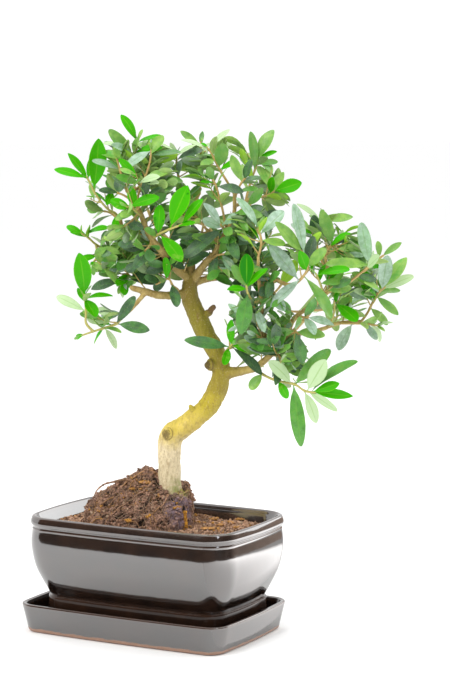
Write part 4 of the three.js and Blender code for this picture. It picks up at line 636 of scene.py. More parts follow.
def earth_look(name, dark, light, chip, by_trunk):
    """Crumbly earth: dark peat with light grains, bark and roots, and moss and a violet clod by the trunk,
    with painted shade in its low gaps.
    """
    look = Look(name)
    bark, pale, violet = look.point_values("tint")
    rise, mossy, _ = look.point_values("place")
    grain = look.noise(1.2, 6, 0.7)
    colour = look.mix(look.between(grain, 0.38, 0.66), dark, light)
    patches = look.between(look.noise(7, 5, 0.65), 0.48, 0.66, 0, 0.75)
    colour = look.mix(patches, colour, (0.03, 0.018, 0.013))
    fibre = look.noise(0.8, 5, 0.6, look.stretched(1, 1, 5), 1.5)
    colour = look.mix(look.between(fibre, 0.6, 0.7, 0, 0.6), colour, chip)
    torn = look.between(look.noise(1.1, 5, 0.7), 0.35, 0.65)
    colour = look.mix(bark, colour, look.mix(torn, (0.2, 0.07, 0.02), (0.8, 0.4, 0.05)))
    colour = look.mix(pale, colour, (0.5, 0.36, 0.24))
    if by_trunk:
        moss = look.times(mossy, look.between(look.noise(2.6, 5, 0.7), 0.4, 0.55))
        colour = look.mix(moss, colour, (0.36, 0.33, 0.07))
        clod = look.times(violet, look.between(look.noise(3.2, 5, 0.7), 0.4, 0.56, 0.1, 0.95))
        colour = look.mix(clod, colour, (0.3, 0.22, 0.27))
    # Painted shade: near black where the skin has sunk, in the gaps and hollows.
    gap = look.between(look.plus(rise, look.between(grain, 0.3, 0.7, -0.5, 0.5)), -1.7, 0.1, 0.95, 0)
    colour = look.mix(gap, colour, (0.01, 0.006, 0.004))
    rough = look.between(grain, 0.3, 0.7, 0.8, 1)
    bumps = look.bump(look.noise(0.7, 5), 0.4, 0.9, look.bump(grain, 0.6, 0.8))
    look.set(Base_Color=colour, Roughness=rough, Specular_IOR_Level=0.25, Normal=bumps)
    return look.material


def glaze_look(name, bare_foot, dull_below):
    """Black-brown glaze: brown where it runs thin, dull below a height, with bare clay at a tray's foot."""
    look = Look(name)
    thin = look.point_values("place")[0]
    clouds = look.between(look.noise(14, 4), 0.35, 0.65)
    colour = look.mix(clouds, (0.009, 0.006, 0.005), (0.022, 0.011, 0.007))
    broken = look.times(thin, look.between(look.noise(3, 4), 0.3, 0.65, 0.55, 1))
    colour = look.mix(broken, colour, (0.05, 0.022, 0.012))
    rough = look.between(look.noise(2.2, 3), 0.3, 0.7, 0.07, 0.13)
    height = look.plus(look.axes()[2], look.between(look.noise(6, 3), 0.3, 0.7, -0.0005, 0.0005))
    if bare_foot:
        bare = look.between(height, 0.0022, 0.0028, 1, 0)
        clay = look.mix(look.noise(1.2, 5, 0.7), (0.2, 0.08, 0.035), (0.32, 0.15, 0.07))
        colour = look.mix(bare, colour, clay)
        rough = look.plus(rough, look.times(bare, 0.7))
    shine = look.between(height, (dull_below - 2) * MM, dull_below * MM)
    look.set(Base_Color=colour, Roughness=rough, IOR=look.between(shine, 0, 1, 1.35, 2.4))
    look.set(Coat_Weight=look.between(shine, 0, 1, 0.03, 0.4), Coat_Roughness=0.04)
    look.set(Normal=look.bump(look.noise(22, 2), 0.5, 0.35))
    return look.material


def mesh_look():
    """Green plastic net, a little mottled."""
    look = Look("drain_mesh_plastic")
    grain = look.noise(0.7, 4)
    look.set(Base_Color=look.mix(grain, (0.008, 0.07, 0.025), (0.015, 0.1, 0.04)))
    look.set(Roughness=look.between(grain, 0.3, 0.7, 0.5, 0.7), Normal=look.bump(grain, 0.1, 0.5))
    return look.material


# ---- Pot and tray ------------------------------------------------------------------------------------
CORNER_STEPS = 14
SIDE_POINTS = 14
GLAZE_STEPS = 3


def rounded_ring(shape, z, shift=(0, 0)):
    """A rectangle with round corners and sides that bow outward a little."""
    length, width, corner = shape
    half_x = length / 2
    half_y = width / 2
    signs = [(1, 1), (-1, 1), (-1, -1), (1, -1)]
    ring = []
    for index, (sx, sy) in enumerate(signs):
        centre = Vector((sx * (half_x - corner), sy * (half_y - corner), z))
        for i in range(CORNER_STEPS + 1):
            angle = math.radians(90 * index + 90 * i / CORNER_STEPS)
            ring.append(centre + Vector((math.cos(angle), math.sin(angle), 0)) * corner)
        nx, ny = signs[(index + 1) % 4]
        along_x = index % 2 == 0
        end = Vector((nx * (half_x - corner), ny * half_y, z) if along_x
                     else (nx * half_x, ny * (half_y - corner), z))
        outward = Vector((0, sy, 0)) if along_x else Vector((sx, 0, 0))
        last = ring[-1]
        for i in range(1, SIDE_POINTS + 1):
            share = i / (SIDE_POINTS + 1)
            ring.append(last.lerp(end, share) + outward * SIDE_BOW * 4 * share * (1 - share))
    return [p + Vector((*shift, 0)) for p in ring]


def inset(shape, by):
    """A rounded rectangle's [length, width, corner], drawn in by a distance on every side."""
    return (shape[0] - 2 * by, shape[1] - 2 * by, max(shape[2] - by, 2))


def between(low, high, share):
    return tuple(a + (b - a) * share for a, b in zip(low, high))


def glazed_rings(profile, shift=(0, 0)):
    """Rings through a profile of [shape, z, how thin the glaze runs], rounded at every turn."""
    rows = [[*shape, z, thin] for shape, z, thin in profile]
    lowest = rows[0][3]
    rings = []
    thins = []
    for length, width, corner, z, thin in smooth_line(rows, GLAZE_STEPS):
        rings.append(rounded_ring((length, width, corner), max(z, lowest), shift))
        thins.append(min(max(thin, 0), 1))
    return rings, thins


def glazed_form(rings, thins):
    form = Form()
    points, faces = loft(rings)
    form.add(points, faces, place=[(thin, 0, 0) for thin in thins for _ in rings[0]])
    return form


def tray_profile():
    """The tray from the foot up its outside, over the rim and down to its floor."""
    def flared(z, inward, thin):
        return inset(between(TRAY_BOTTOM, TRAY_TOP, z / TRAY_HEIGHT), inward), z, thin

    low = TRAY_HEIGHT - TRAY_RIM
    round_z = TRAY_HEIGHT - TRAY_RIM * 0.3
    return [
        flared(0, TRAY_CHAMFER, 0),
        (inset(TRAY_BOTTOM, TRAY_CHAMFER * 0.7), 0.1, 0),
        flared(TRAY_CHAMFER, 0, 0),
        flared(TRAY_HEIGHT * 0.3, 0, 0),
        flared(TRAY_HEIGHT * 0.6, 0, 0),
        flared(low - 1, 0, 0.1),
        flared(low, 0, 0.5),
        (inset(TRAY_TOP, TRAY_RIM * 0.35), round_z, 1),
        (inset(TRAY_TOP, TRAY_RIM), TRAY_HEIGHT, 1),
        (inset(TRAY_TOP, TRAY_WALL - TRAY_RIM * 0.4), round_z, 0.8),
        flared(low, TRAY_WALL, 0.3),
        flared(TRAY_FLOOR + 3, TRAY_WALL, 0),
        flared(TRAY_FLOOR, TRAY_WALL + 2.5, 0),
        flared(TRAY_FLOOR, TRAY_WALL + 8, 0),
    ]


def make_tray():
    form = glazed_form(*glazed_rings(tray_profile()))
    look = glaze_look("tray_black_glaze", True, 0)
    show(form.mesh("glazed_tray"), "glazed_tray", [look], "tray")


def pot_inside(z, gap):
    """The pot's inner outline at a height, less a gap."""
    share = min(max((z - POT_FOOT_TOP) / (POT_CREST - POT_FOOT_TOP), 0), 1)
    return inset(between(POT_BASE, POT_LIP, share ** 0.8), POT_WALL + 1.6 + gap)


def pot_profile():
    """The pot from its foot up the bellied side, over bead, groove and lip, to just inside its crest."""
    groove = POT_CREST - POT_LIP_DEPTH
    shoulder = groove - 13
    top = inset(POT_LIP, 0.2)
    foot = inset(POT_BASE, -POT_FOOT_STEP)

    def belly(z):
        climb = (z - POT_FOOT_TOP) / (shoulder - POT_FOOT_TOP)
        return between(POT_BASE, top, math.sin(math.pi / 2 * climb)), z, 0

    return [
        (inset(POT_BASE, 2), POT_FOOT_BOTTOM, 0),
        (POT_BASE, POT_FOOT_BOTTOM + 1, 0),
        (foot, POT_FOOT_TOP - 9, 0.1),
        (foot, POT_FOOT_TOP - 1.6, 0.3),
        (inset(foot, 0.5), POT_FOOT_TOP - 0.5, 0.8),
        (inset(foot, 1.8), POT_FOOT_TOP, 0.5),
        belly(POT_FOOT_TOP + 2),
        belly(POT_FOOT_TOP + 12),
        belly(shoulder - 14),
        (top, shoulder, 0),
        (inset(top, 0.8), groove - 3, 0),
        (inset(POT_LIP, 1), groove - 1.2, 0.75),
        (inset(POT_LIP, 0.5 + POT_GROOVE), groove, 0),
        (top, groove + 1.8, 0.3),
        (POT_LIP, groove + 3.6, 0.1),
        (inset(POT_LIP, 0.7), POT_CREST - 1.7, 0.3),
        (inset(POT_LIP, 1.4), POT_CREST - 0.5, 0.9),
        (inset(POT_LIP, POT_CREST_INSET), POT_CREST, 1),
        (inset(POT_LIP, POT_CREST_INSET + 1.2), POT_CREST - 0.6, 0.7),
        (inset(POT_LIP, POT_CREST_INSET + 2.6), POT_CREST - 3, 0),
    ]


def make_pot():
    rings, thins = glazed_rings(pot_profile(), POT_SHIFT)
    for z in (POT_CREST - 5, POT_CREST - 11, 48, POT_FOOT_TOP + 4):
        rings.append(rounded_ring(pot_inside(z, 0), z, POT_SHIFT))
        thins.append(0)
    rings.append(rounded_ring(inset(pot_inside(POT_FLOOR, 0), 2), POT_FLOOR, POT_SHIFT))
    thins.append(0)
    form = glazed_form(rings, thins)
    length, width, _ = FOOT_BLOCK
    for sx in (-1, 1):
        for sy in (-1, 1):
            x = POT_SHIFT[0] + sx * (POT_BASE[0] / 2 - FOOT_INSET - length / 2)
            y = POT_SHIFT[1] + sy * (POT_BASE[1] / 2 - FOOT_INSET - width / 2)
            heights = (TRAY_FLOOR + SEAT_GAP, POT_FOOT_BOTTOM + 2)
            form.add(*loft([rounded_ring(FOOT_BLOCK, z, (x, y)) for z in heights]))
    look = glaze_look("pot_black_glaze", False, POT_FOOT_TOP + 1)
    show(form.mesh("glazed_pot"), "glazed_pot", [look], "pot")


# ---- Root ball and soil ------------------------------------------------------------------------------
ROOT_ANGLES = 150
SHOULDER = 0.88
BROW = 0.96
BROW_DROP = 5
ROOT_FOOT = ROOT_CLIFF + 8
CROWN_ROWS = 28
BROW_ROWS = 4
CLIFF_ROWS = 10
# Layers of noise that roughen the earth, as (size, depth), and how far the whole skin sinks.
EARTH_LAYERS = ((9, 1.9), (3.4, 1.5), (1.6, 0.8))
SOIL_LAYERS = ((11, 1.3), (3.2, 1.3), (1.5, 0.6))
EARTH_SINK = 0.6
# Hollows pressed into the root ball, darkened by the earth's painted shade, as (u, v, z) and radius.
ROOT_HOLLOWS = (((4, -16, 95), 6), ((26, -13, 74), 6), ((-24, -18, 84), 5), ((-8, -26, 80), 4.5))
HOLLOW_DEPTH = 4.5
VIOLET_CLOD = (20, -13, 84)
VIOLET_REACH = 17
MOSS_SPOT = (19, -3, 98)
MOSS_REACH = 7
# A long sliver of bark below the trunk and a root that stands clear of the ball, as (u, v, z) along each.
SLIVER = [(22.1, -13.6, 86), (22.4, -15, 82), (22.8, -16, 78), (23.2, -16.4, 74)]
STRAY_ROOT = [(-15, -4, 105), (-20, -8, 106.5), (-27, -11, 105.5), (-33, -14, 104.5), (-38, -17, 101),
  (-40, -19, 97)]
ROOT_SEED = 41
SOIL_SEED = 43
ROOT_CRUMBS = 3000
ROOT_FIBRES = 600
THICK_FIBRES = 24
SOIL_CRUMBS = 2600
SOIL_FIBRES = 200
SOIL_RINGS = 34
FIBRE_STEP = 1.6
FIBRE_TURN = 0.9
# A crumb is an octahedron with a point pushed out of each edge: its corners, sides and edges.
CRUMB_CORNERS = ((1, 0, 0), (-1, 0, 0), (0, 1, 0), (0, -1, 0), (0, 0, 0.75), (0, 0, -0.75))
CRUMB_SIDES = ((0, 2, 4), (2, 1, 4), (1, 3, 4), (3, 0, 4), (2, 0, 5), (1, 2, 5), (3, 1, 5), (0, 3, 5))
CRUMB_EDGES = ((0, 2), (2, 1), (1, 3), (3, 0), (0, 4), (2, 4), (1, 4), (3, 4), (0, 5), (2, 5), (1, 5), (3, 5))
SPLINTER_STEPS = 8


def root_reach(angle):
    """How far the root ball reaches at an angle about its middle: furthest to the left."""
    right = max(math.cos(angle), 0)
    left = max(-math.cos(angle), 0)
    front = max(-math.sin(angle), 0)
    return 31 + 3 * right ** 2 + 13 * left ** 2.5 + 9 * front ** 2


def root_fall(angle):
    """How far its top falls from the middle to the edge: furthest at the front."""
    front = max(-math.sin(angle), 0)
    return 20.5 - 6.5 * math.cos(angle) + 20 * front + 2 * math.sin(2 * angle + 0.6)


def root_slope(share, angle):
    """The height of the root ball's top at a share of its reach."""
    return ROOT_TOP - root_fall(angle) * share ** 1.05


def root_top(u, v):
    """The height of the root ball's smooth top."""
    angle = math.atan2(v - ROOT_V, u - ROOT_U)
    return root_slope(math.hypot(u - ROOT_U, v - ROOT_V) / root_reach(angle), angle)


def root_rows():
    """Rows down the root ball, as [share of its reach, share of the brow's drop, share of the cliff]."""
    crown = [(SHOULDER * (row / CROWN_ROWS) ** 0.9, 0, 0) for row in range(1, CROWN_ROWS + 1)]
    brow = [(SHOULDER + (BROW - SHOULDER) * row / BROW_ROWS, row / BROW_ROWS, 0)
            for row in range(1, BROW_ROWS + 1)]
    cliff = [(BROW + (1 - BROW) * row / CLIFF_ROWS, 1, row / CLIFF_ROWS) for row in range(1, CLIFF_ROWS + 1)]
    return crown + brow + cliff


def root_ball_rings():
    """The root ball's smooth outline, by the formulas of the part's source, up from its underside."""
    rings = []
    angles = [2 * math.pi * k / ROOT_ANGLES for k in range(ROOT_ANGLES)]
    for share, brow, cliff in root_rows():
        ring = []
        for angle in angles:
            reach = root_reach(angle) * share
            slope = root_slope(share, angle) - BROW_DROP * brow
            z = slope + (ROOT_FOOT - slope) * cliff
            ring.append(tree(ROOT_U + reach * math.cos(angle), ROOT_V + reach * math.sin(angle), z))
        rings.append(ring)
    middle = tree(ROOT_U, ROOT_V, 0)
    rim = rings[-1]
    for share in (0.3, 0.65, 1):
        ring = []
        for p in rim:
            place = middle.lerp(p, 1 - 0.2 * share)
            ring.append(Vector((place.x, place.y, p.z + (ROOT_UNDERSIDE - p.z) * share)))
        rings.append(ring)
    return rings[::-1]


def roughened(points, faces, layers, hollows=()):
    """Pushes a form's points along its skin by layers of (size, depth) noise and into its hollows.

    Gives the points, and how far each one has risen, for the look's painted shade in the gaps.
    """
    mesh = bpy.data.meshes.new("draft")
    mesh.from_pydata([tuple(p) for p in points], [], faces)
    normals = [Vector(corner.vector) for corner in mesh.vertex_normals]
    bpy.data.meshes.remove(mesh)
    moved = []
    rises = []
    for p, normal in zip(points, normals):
        lump = 0
        for index, (size, depth) in enumerate(layers):
            shifted = (p + Vector((31, 17, 5)) * index) / size
            lump += noise.fractal(shifted, 0.9, 2.1, 3) * depth
        lump -= EARTH_SINK
        for hollow, radius in hollows:
            lump -= HOLLOW_DEPTH * max(1 - (p - hollow).length / radius, 0)
        moved.append(p + normal * lump)
        rises.append((lump, 0, 0))
    return moved, rises


class Ground:
    """A skin that crumbs and fibres lie on: places drawn evenly over what shows of it."""

    def __init__(self, points, faces, floor, seed):
        self.skin = BVHTree.FromPolygons(points, faces)
        self.random = np.random.default_rng(seed)
        rows = np.array([[*p] for p in points])
        quads = np.array([face for face in faces if len(face) == 4])
        self.middles = rows[quads].mean(axis=1)
        one = rows[quads[:, 2]] - rows[quads[:, 0]]
        two = rows[quads[:, 3]] - rows[quads[:, 1]]
        self.spread = np.abs(one).max(axis=1) * 0.5
        areas = np.linalg.norm(np.cross(one, two), axis=1) * (self.middles[:, 2] > floor)
        self.odds = areas / areas.sum()

    def spots(self, count):
        """Places on the skin, each with the direction that faces out of it."""
        found = []
        for index in self.random.choice(len(self.odds), count, p=self.odds):
            near = Vector(self.middles[index] + self.random.uniform(-1, 1, 3) * self.spread[index])
            place, normal, _, _ = self.skin.find_nearest(near)
            found.append((place, normal))
        return found

    def wander(self, start, heading, length, sag, draw):
        """Points of a line that feels its way over the skin, turning a little at each step."""
        points = [start]
        place = start
        for _ in range(max(int(length / FIBRE_STEP), 3)):
            swerve = Vector((draw() - 0.5, draw() - 0.5, draw() - 0.5)) * FIBRE_TURN
            heading = heading + swerve - Vector((0, 0, sag))
            _, normal, _, _ = self.skin.find_nearest(place)
            heading = (heading - normal * heading.dot(normal)).normalized()
            place, normal, _, _ = self.skin.find_nearest(place + heading * FIBRE_STEP)
            points.append(place)
        return points


def add_fibre(form, ground, length, radius, draw, tint, lift, sag=0.12):
    """A thin root over the ground, raised a little between its two sunk ends."""
    start, normal = ground.spots(1)[0]
    heading = normal.orthogonal()
    heading.rotate(Quaternion(normal, draw() * 2 * math.pi))
    line = ground.wander(start, heading, length, sag, draw)
    last = len(line) - 1
    high = lift * (0.4 + draw())
    centres = []
    for i, p in enumerate(line):
        _, normal, _, _ = ground.skin.find_nearest(p)
        rise = high * math.sin(math.pi * i / last) - (radius * 1.6 if i in (0, last) else 0)
        centres.append(p + normal * (radius * 0.4 + rise))
    radii = [radius * (1.15 - 0.6 * i / last) for i in range(last + 1)]
    form.add(*tube(centres, radii, 5), tint=tint)


def add_crumb(form, centre, radius, draw, tint):
    """A small irregular crumb, with every corner and edge pushed its own way."""
    axes = [Vector(corner) for corner in CRUMB_CORNERS]
    turn = Quaternion((draw() - 0.5, draw() - 0.5, draw() - 0.5, draw() + 0.01)).normalized()
    corners = [axis * radius * (0.7 + 0.6 * draw()) for axis in axes]
    points = [turn @ corner for corner in corners]
    middles = {}
    for a, b in CRUMB_EDGES:
        middles[a, b] = len(points)
        middles[b, a] = len(points)
        points.append((points[a] + points[b]) * 0.64 * (0.85 + 0.3 * draw()))
    faces = []
    for a, b, c in CRUMB_SIDES:
        ab, bc, ca = middles[a, b], middles[b, c], middles[c, a]
        faces += [(a, ab, ca), (ab, b, bc), (ca, bc, c), (ab, bc, ca)]
    form.add([centre + p for p in points], faces, tint=tint)


def add_chip(form, chip, ground_height, draw):
    """A bark chip as a few torn splinters side by side, half sunk in the ground."""
    u, v, length, turn, tilt = chip
    move = (Matrix.Translation(tree(u, v, ground_height(u, v))) @ Matrix.Rotation(math.radians(turn), 4, "Z")
            @ Matrix.Rotation(math.radians(tilt), 4, "X"))
    hexagon = [(math.cos(k * math.pi / 3), math.sin(k * math.pi / 3)) for k in range(6)]
    for splinter in range(-1, 2):
        run = length * (0.5 + 0.5 * draw())
        start = (draw() - 0.5) * (length - run)
        rings = []
        for i in range(SPLINTER_STEPS):
            share = i / (SPLINTER_STEPS - 1)
            full = 0.35 + 0.65 * math.sin(math.pi * share) ** 0.5
            half = length * 0.1 * full * (0.6 + 0.8 * draw())
            thick = 0.75 * full * (0.6 + 0.7 * draw())
            side = splinter * length * 0.1 + (draw() - 0.5) * 0.7
            middle = Vector((start + (share - 0.5) * run, side, (draw() - 0.5) * 0.5))
            rings.append([move @ (middle + Vector((0, a * half * (0.7 + 0.5 * draw()), b * thick)))
                          for a, b in hexagon])
        form.add(*loft(rings), tint=bark_tint(draw))


def bark_tint(draw):
    """A point tint that the earth's look shows as bark, more or less strongly."""
    return (0.45 + 0.5 * draw(), 0, 0)


def scatter_crumbs(form, ground, count, largest, draw, bark_odds, root_odds):
    """Crumbs half sunk in the ground, some of them of bark and some of pale root."""
    for place, normal in ground.spots(count):
        size = 0.35 + largest * draw() ** 3
        kind = draw()
        if kind < bark_odds:
            tint = bark_tint(draw)
        elif kind < bark_odds + root_odds:
            tint = (0, 0.6, 0)
        else:
            tint = (0.1 * draw(), 0, 0)
        add_crumb(form, place + normal * size * 0.35, size, draw, tint)


def add_surface_roots(form, draw):
    """The roots that run over the root ball, each half sunk in it and wavering a little."""
    for line in SURFACE_ROOTS:
        rows = smooth_line(line, 7)
        centres = [tree(u, v + 0.8 * math.sin(i * 1.7), root_top(u, v) + 0.5 + 0.6 * math.sin(i * 0.9))
                   for i, (u, v) in enumerate(rows)]
        last = len(rows) - 1
        tapers = [0.75 - 0.5 * i / last for i in range(last + 1)]
        radii = [SURFACE_ROOT_RADIUS * taper * (0.8 + 0.4 * draw()) for taper in tapers]
        form.add(*tube(centres, radii, 9), tint=(0.55 * draw(), 0.08, 0))


def add_sliver(form, draw):
    """The long sliver of bark, torn in two strips."""
    line = [Vector(p) for p in smooth_line([list(tree(*at)) for at in SLIVER], 3)]
    ends = (0, len(line) - 1)
    for side in (-0.6, 0.5):
        strip = [p + tree(side + 0.4 * (draw() - 0.5), -0.3 * side, 0) for p in line]
        widths = [(0.25 if i in ends else 0.7) * (0.6 + 0.8 * draw()) for i in range(len(line))]
        form.add(*tube(strip, widths, 6), tint=(1, 0, 0))


def add_root_fibres(form, ground, draw):
    for _ in range(ROOT_FIBRES):
        woody = draw()
        tint = (0.7 * woody, 0.1, 0) if woody > 0.7 else (0.1, 0.2 + 0.7 * draw(), 0)
        add_fibre(form, ground, 6 + 15 * draw(), 0.1 + 0.13 * draw() ** 2, draw, tint, 0.7)
    for _ in range(THICK_FIBRES):
        add_fibre(form, ground, 12 + 14 * draw(), 0.3 + 0.2 * draw(), draw, (0.2 + 0.5 * draw(), 0.1, 0), 1.2)


def add_stray_root(form, draw):
    centres = [Vector(p) for p in smooth_line([list(tree(*at)) for at in STRAY_ROOT], 5)]
    radii = [(1 - 0.6 * i / len(centres)) * (0.8 + 0.4 * draw()) for i in range(len(centres))]
    form.add(*tube(centres, radii, 7), tint=(0.12, 0.05, 0))


def nearness(p, middle, reach, fade):
    """1 near a place, fading to 0 at its reach."""
    return min(max((reach - (Vector(p) - middle).length) / fade, 0), 1)


def make_root_ball(look):
    form = Form()
    points, faces = loft(root_ball_rings())
    hollows = [(tree(*at), radius) for at, radius in ROOT_HOLLOWS]
    points, rises = roughened(points, faces, EARTH_LAYERS, hollows)
    form.add(points, faces, place=rises)
    draw = seeded(ROOT_SEED)
    ground = Ground(points, faces, SOIL_LEVEL - 1, ROOT_SEED)
    add_surface_roots(form, draw)
    for chip in ROOT_CHIPS:
        add_chip(form, chip, root_top, draw)
    add_sliver(form, draw)
    scatter_crumbs(form, ground, ROOT_CRUMBS, 1.3, draw, 0.05, 0.012)
    add_root_fibres(form, ground, draw)
    add_stray_root(form, draw)
    clod = tree(*VIOLET_CLOD)
    moss = tree(*MOSS_SPOT)
    form.tint = [(bark, pale, nearness(p, clod, VIOLET_REACH, 8) * (bark < 0.6))
                 for p, (bark, pale, _) in zip(form.points, form.tint)]
    form.place = [(rise, nearness(p, moss, MOSS_REACH, 3), 0)
                  for p, (rise, _, _) in zip(form.points, form.place)]
    show(form.mesh("fibrous_root_ball"), "fibrous_root_ball", [look], "root_ball", 70)


def soil_rings():
    """The soil's smooth outline up from the pot's floor, and rings over its top to the middle."""
    rings = []
    for z, extra in ((POT_FLOOR + SEAT_GAP, 2.4), (POT_FOOT_TOP + 4, 0), (48, 0), (SOIL_LEVEL - 3, 0.6)):
        rings.append(rounded_ring(inset(pot_inside(z, SOIL_GAP), extra), z, POT_SHIFT))
    middle = Vector((*POT_SHIFT, SOIL_LEVEL - 0.3))
    rim = [Vector((p.x, p.y, SOIL_LEVEL - 0.8)) for p in rings[-1]]
    for row in range(SOIL_RINGS):
        rings.append([p.lerp(middle, 0.02 + 0.96 * row / SOIL_RINGS) for p in rim])
    return rings


def make_soil(look):
    form = Form()
    draw = seeded(SOIL_SEED)
    points, faces = loft(soil_rings())
    points, rises = roughened(points, faces, SOIL_LAYERS)
    form.add(points, faces, place=rises)
    for chip in SOIL_CHIPS:
        add_chip(form, chip, lambda u, v: SOIL_LEVEL + SOIL_GAP, draw)
    ground = Ground(points, faces, SOIL_LEVEL - 4, SOIL_SEED)
    scatter_crumbs(form, ground, SOIL_CRUMBS, 1.5, draw, 0.12, 0.03)
    for _ in range(SOIL_FIBRES):
        tint = (0.6 * draw(), 0.1 + 0.35 * draw(), 0)
        add_fibre(form, ground, 5 + 9 * draw(), 0.11 + 0.15 * draw(), draw, tint, 0.6, 0)
    show(form.mesh("crumbly_soil"), "crumbly_soil", [look], "potting_soil", 70)


# ---- Wood --------------------------------------------------------------------------------------------
WOOD_VOXEL = 0.6
TRUNK_STEPS = 8
BRANCH_STEPS = 5
TRUNK_SIDES = 24
BRANCH_SIDES = 12
KNOT_SIDES = 14
# The dead stub's end, how far its dark wood reaches, and over what length it fades.
STUB_TIP = (41, -2.5, 225)
STUB_REACH = 5.5
STUB_FADE = 2.5
# The knots that are healed cuts come first in their table.
HEALED_CUTS = 2
# The bark's ridges and cracks, drawn out along the height.
RIDGE_SIZE = 5.5
RIDGE_DEPTH = 0.75
CRACK_SIZE = 1.6
CRACK_DEPTH = 0.28
BARK_STRETCH = 0.45


def wood_mesh():
    """Trunk, branches and knots, grown together to one smooth skin by a remesh."""
    form = Form()
    for name, points in WOOD.items():
        trunk = name == "trunk"
        line = [list(row) for row in smooth_line(points, TRUNK_STEPS if trunk else BRANCH_STEPS)]
        form.add(*tree_tube(line, TRUNK_SIDES if trunk else BRANCH_SIDES))
    for line in KNOTS:
        form.add(*tree_tube(line, KNOT_SIDES))
    block = bpy.data.objects.new("wood_block", form.mesh("wood_block"))
    bpy.context.scene.collection.objects.link(block)
    remesh = block.modifiers.new("join", "REMESH")
    remesh.mode = "VOXEL"
    remesh.voxel_size = WOOD_VOXEL * MM
    smooth = block.modifiers.new("ease", "SMOOTH")
    smooth.iterations = 3
    joined = bpy.data.meshes.new_from_object(block.evaluated_get(bpy.context.evaluated_depsgraph_get()))
    bpy.data.objects.remove(block)
    return joined


def nearest_girth(points):
    """The radius, in millimetres, of the branch that each point lies on."""
    best = np.full(len(points), 1e9)
    girth = np.zeros(len(points))
    for line in WOOD.values():
        rows = np.array([[*tree(*row[:3]), row[3]] for row in line])
        for a, b in zip(rows[:-1], rows[1:]):
            span = b[:3] - a[:3]
            share = np.clip((points - a[:3]) @ span / (span @ span), 0, 1)
            radius = a[3] + (b[3] - a[3]) * share
            gap = np.linalg.norm(points - a[:3] - share[:, None] * span, axis=1) - radius
            closer = gap < best
            best[closer] = gap[closer]
            girth[closer] = radius[closer]
    return girth


def make_wood():
    """The wood, with bark pushed out of its skin, and the values by which its look changes."""
    mesh = wood_mesh()
    count = len(mesh.vertices)
    points = np.empty(count * 3)
    normals = np.empty(count * 3, np.float32)
    mesh.vertices.foreach_get("co", points)
    mesh.vertex_normals.foreach_get("vector", normals)
    points = points.reshape(-1, 3) / MM
    normals = normals.reshape(-1, 3)
    girth = nearest_girth(points)
    moved = []
    for p, n, thick in zip(points, normals, girth):
        place = Vector(p)
        drawn_out = Vector((place.x, place.y, place.z * BARK_STRETCH))
        ridges = noise.fractal(drawn_out / RIDGE_SIZE, 0.9, 2.1, 4)
        cracks = noise.fractal(drawn_out / CRACK_SIZE + Vector((9, 9, 9)), 0.8, 2.1, 3)
        deep = min(thick / 8, 1)
        moved.append(p + n * (ridges * RIDGE_DEPTH + cracks * CRACK_DEPTH) * (0.15 + 0.85 * deep))
    mesh.vertices.foreach_set("co", (np.array(moved) * MM).ravel())
    cuts = [np.array([*tree(*line[-1][:3])]) for line in KNOTS[:HEALED_CUTS]]
    knot = np.min([np.linalg.norm(points - cut, axis=1) for cut in cuts], axis=0)
    # How far the skin faces down, for the look's painted shade under the trunk and branches.
    under = np.clip(-normals[:, 2] * 0.8, 0, 1)
    from_stub = np.linalg.norm(points - np.array([*tree(*STUB_TIP)]), axis=1)
    stub = np.clip((STUB_REACH - from_stub) / STUB_FADE, 0, 1)
    keep_values(mesh, "tint", np.stack([stub, stub * 0, stub * 0], axis=1))
    keep_values(mesh, "place", np.stack([np.clip((girth - 1) / 10, 0, 1), knot, under], axis=1))
    show(mesh, "olive_trunk_and_branches", [bark_look()], "olive_wood", 80)


# ---- Sprays ------------------------------------------------------------------------------------------
def nearest_wood(point, wood_lines):
    """The nearest place on the wood: (gap, centre, radius, whether it is a branch's end, direction)."""
    best = None
    for line in wood_lines:
        for i in range(len(line) - 1):
            a = tree(*line[i][:3])
            b = tree(*line[i + 1][:3])
            span = b - a
            share = min(max((point - a).dot(span) / span.length_squared, 0), 1)
            centre = a + span * share
            radius = line[i][3] + (line[i + 1][3] - line[i][3]) * share
            gap = (centre - point).length - radius
            if best is None or gap < best[0]:
                at_end = i + 2 == len(line) and share > 0.9
                best = (gap, b if at_end else centre, radius, at_end, span.normalized())
    return best


def seat_twig(route, wood_lines):
    """A spray's main twig starts square on the wood's skin, as in the part's source."""
    _, centre, radius, at_end, along = nearest_wood(tree(*route[0]), wood_lines)
    facing = along.copy()
    if not at_end:
        facing = tree(*route[1]) - centre
        facing = (facing - along * facing.dot(along)).normalized()
    seat = centre + facing * ((0 if at_end else radius) + SEAT_GAP)
    return [to_tree(seat), *route[1:]], centre


def along_line(centres, share):
    """The place at a share of a line's length, and the line's direction there."""
    lengths = [(b - a).length for a, b in zip(centres, centres[1:])]
    left = share * sum(lengths)
    for i, length in enumerate(lengths):
        if left <= length or i == len(lengths) - 1:
            direction = (centres[i + 1] - centres[i]).normalized()
            return centres[i] + direction * left, direction
        left -= length


# The way that most leaves face: up and to the front.
UPWARD_FACE = tree(0, -0.75, 0.66)
# Bends that a blade may take, as (turn about its twig, lift, share of its length), in the order in which
# the part's source tries them.
BENDS = ((0, 0, 1), (0.25, 0.1, 1), (-0.25, 0.1, 1), (0.15, 0.35, 0.95), (-0.15, -0.3, 0.9),
         (0.5, 0, 0.85), (-0.5, 0, 0.85))


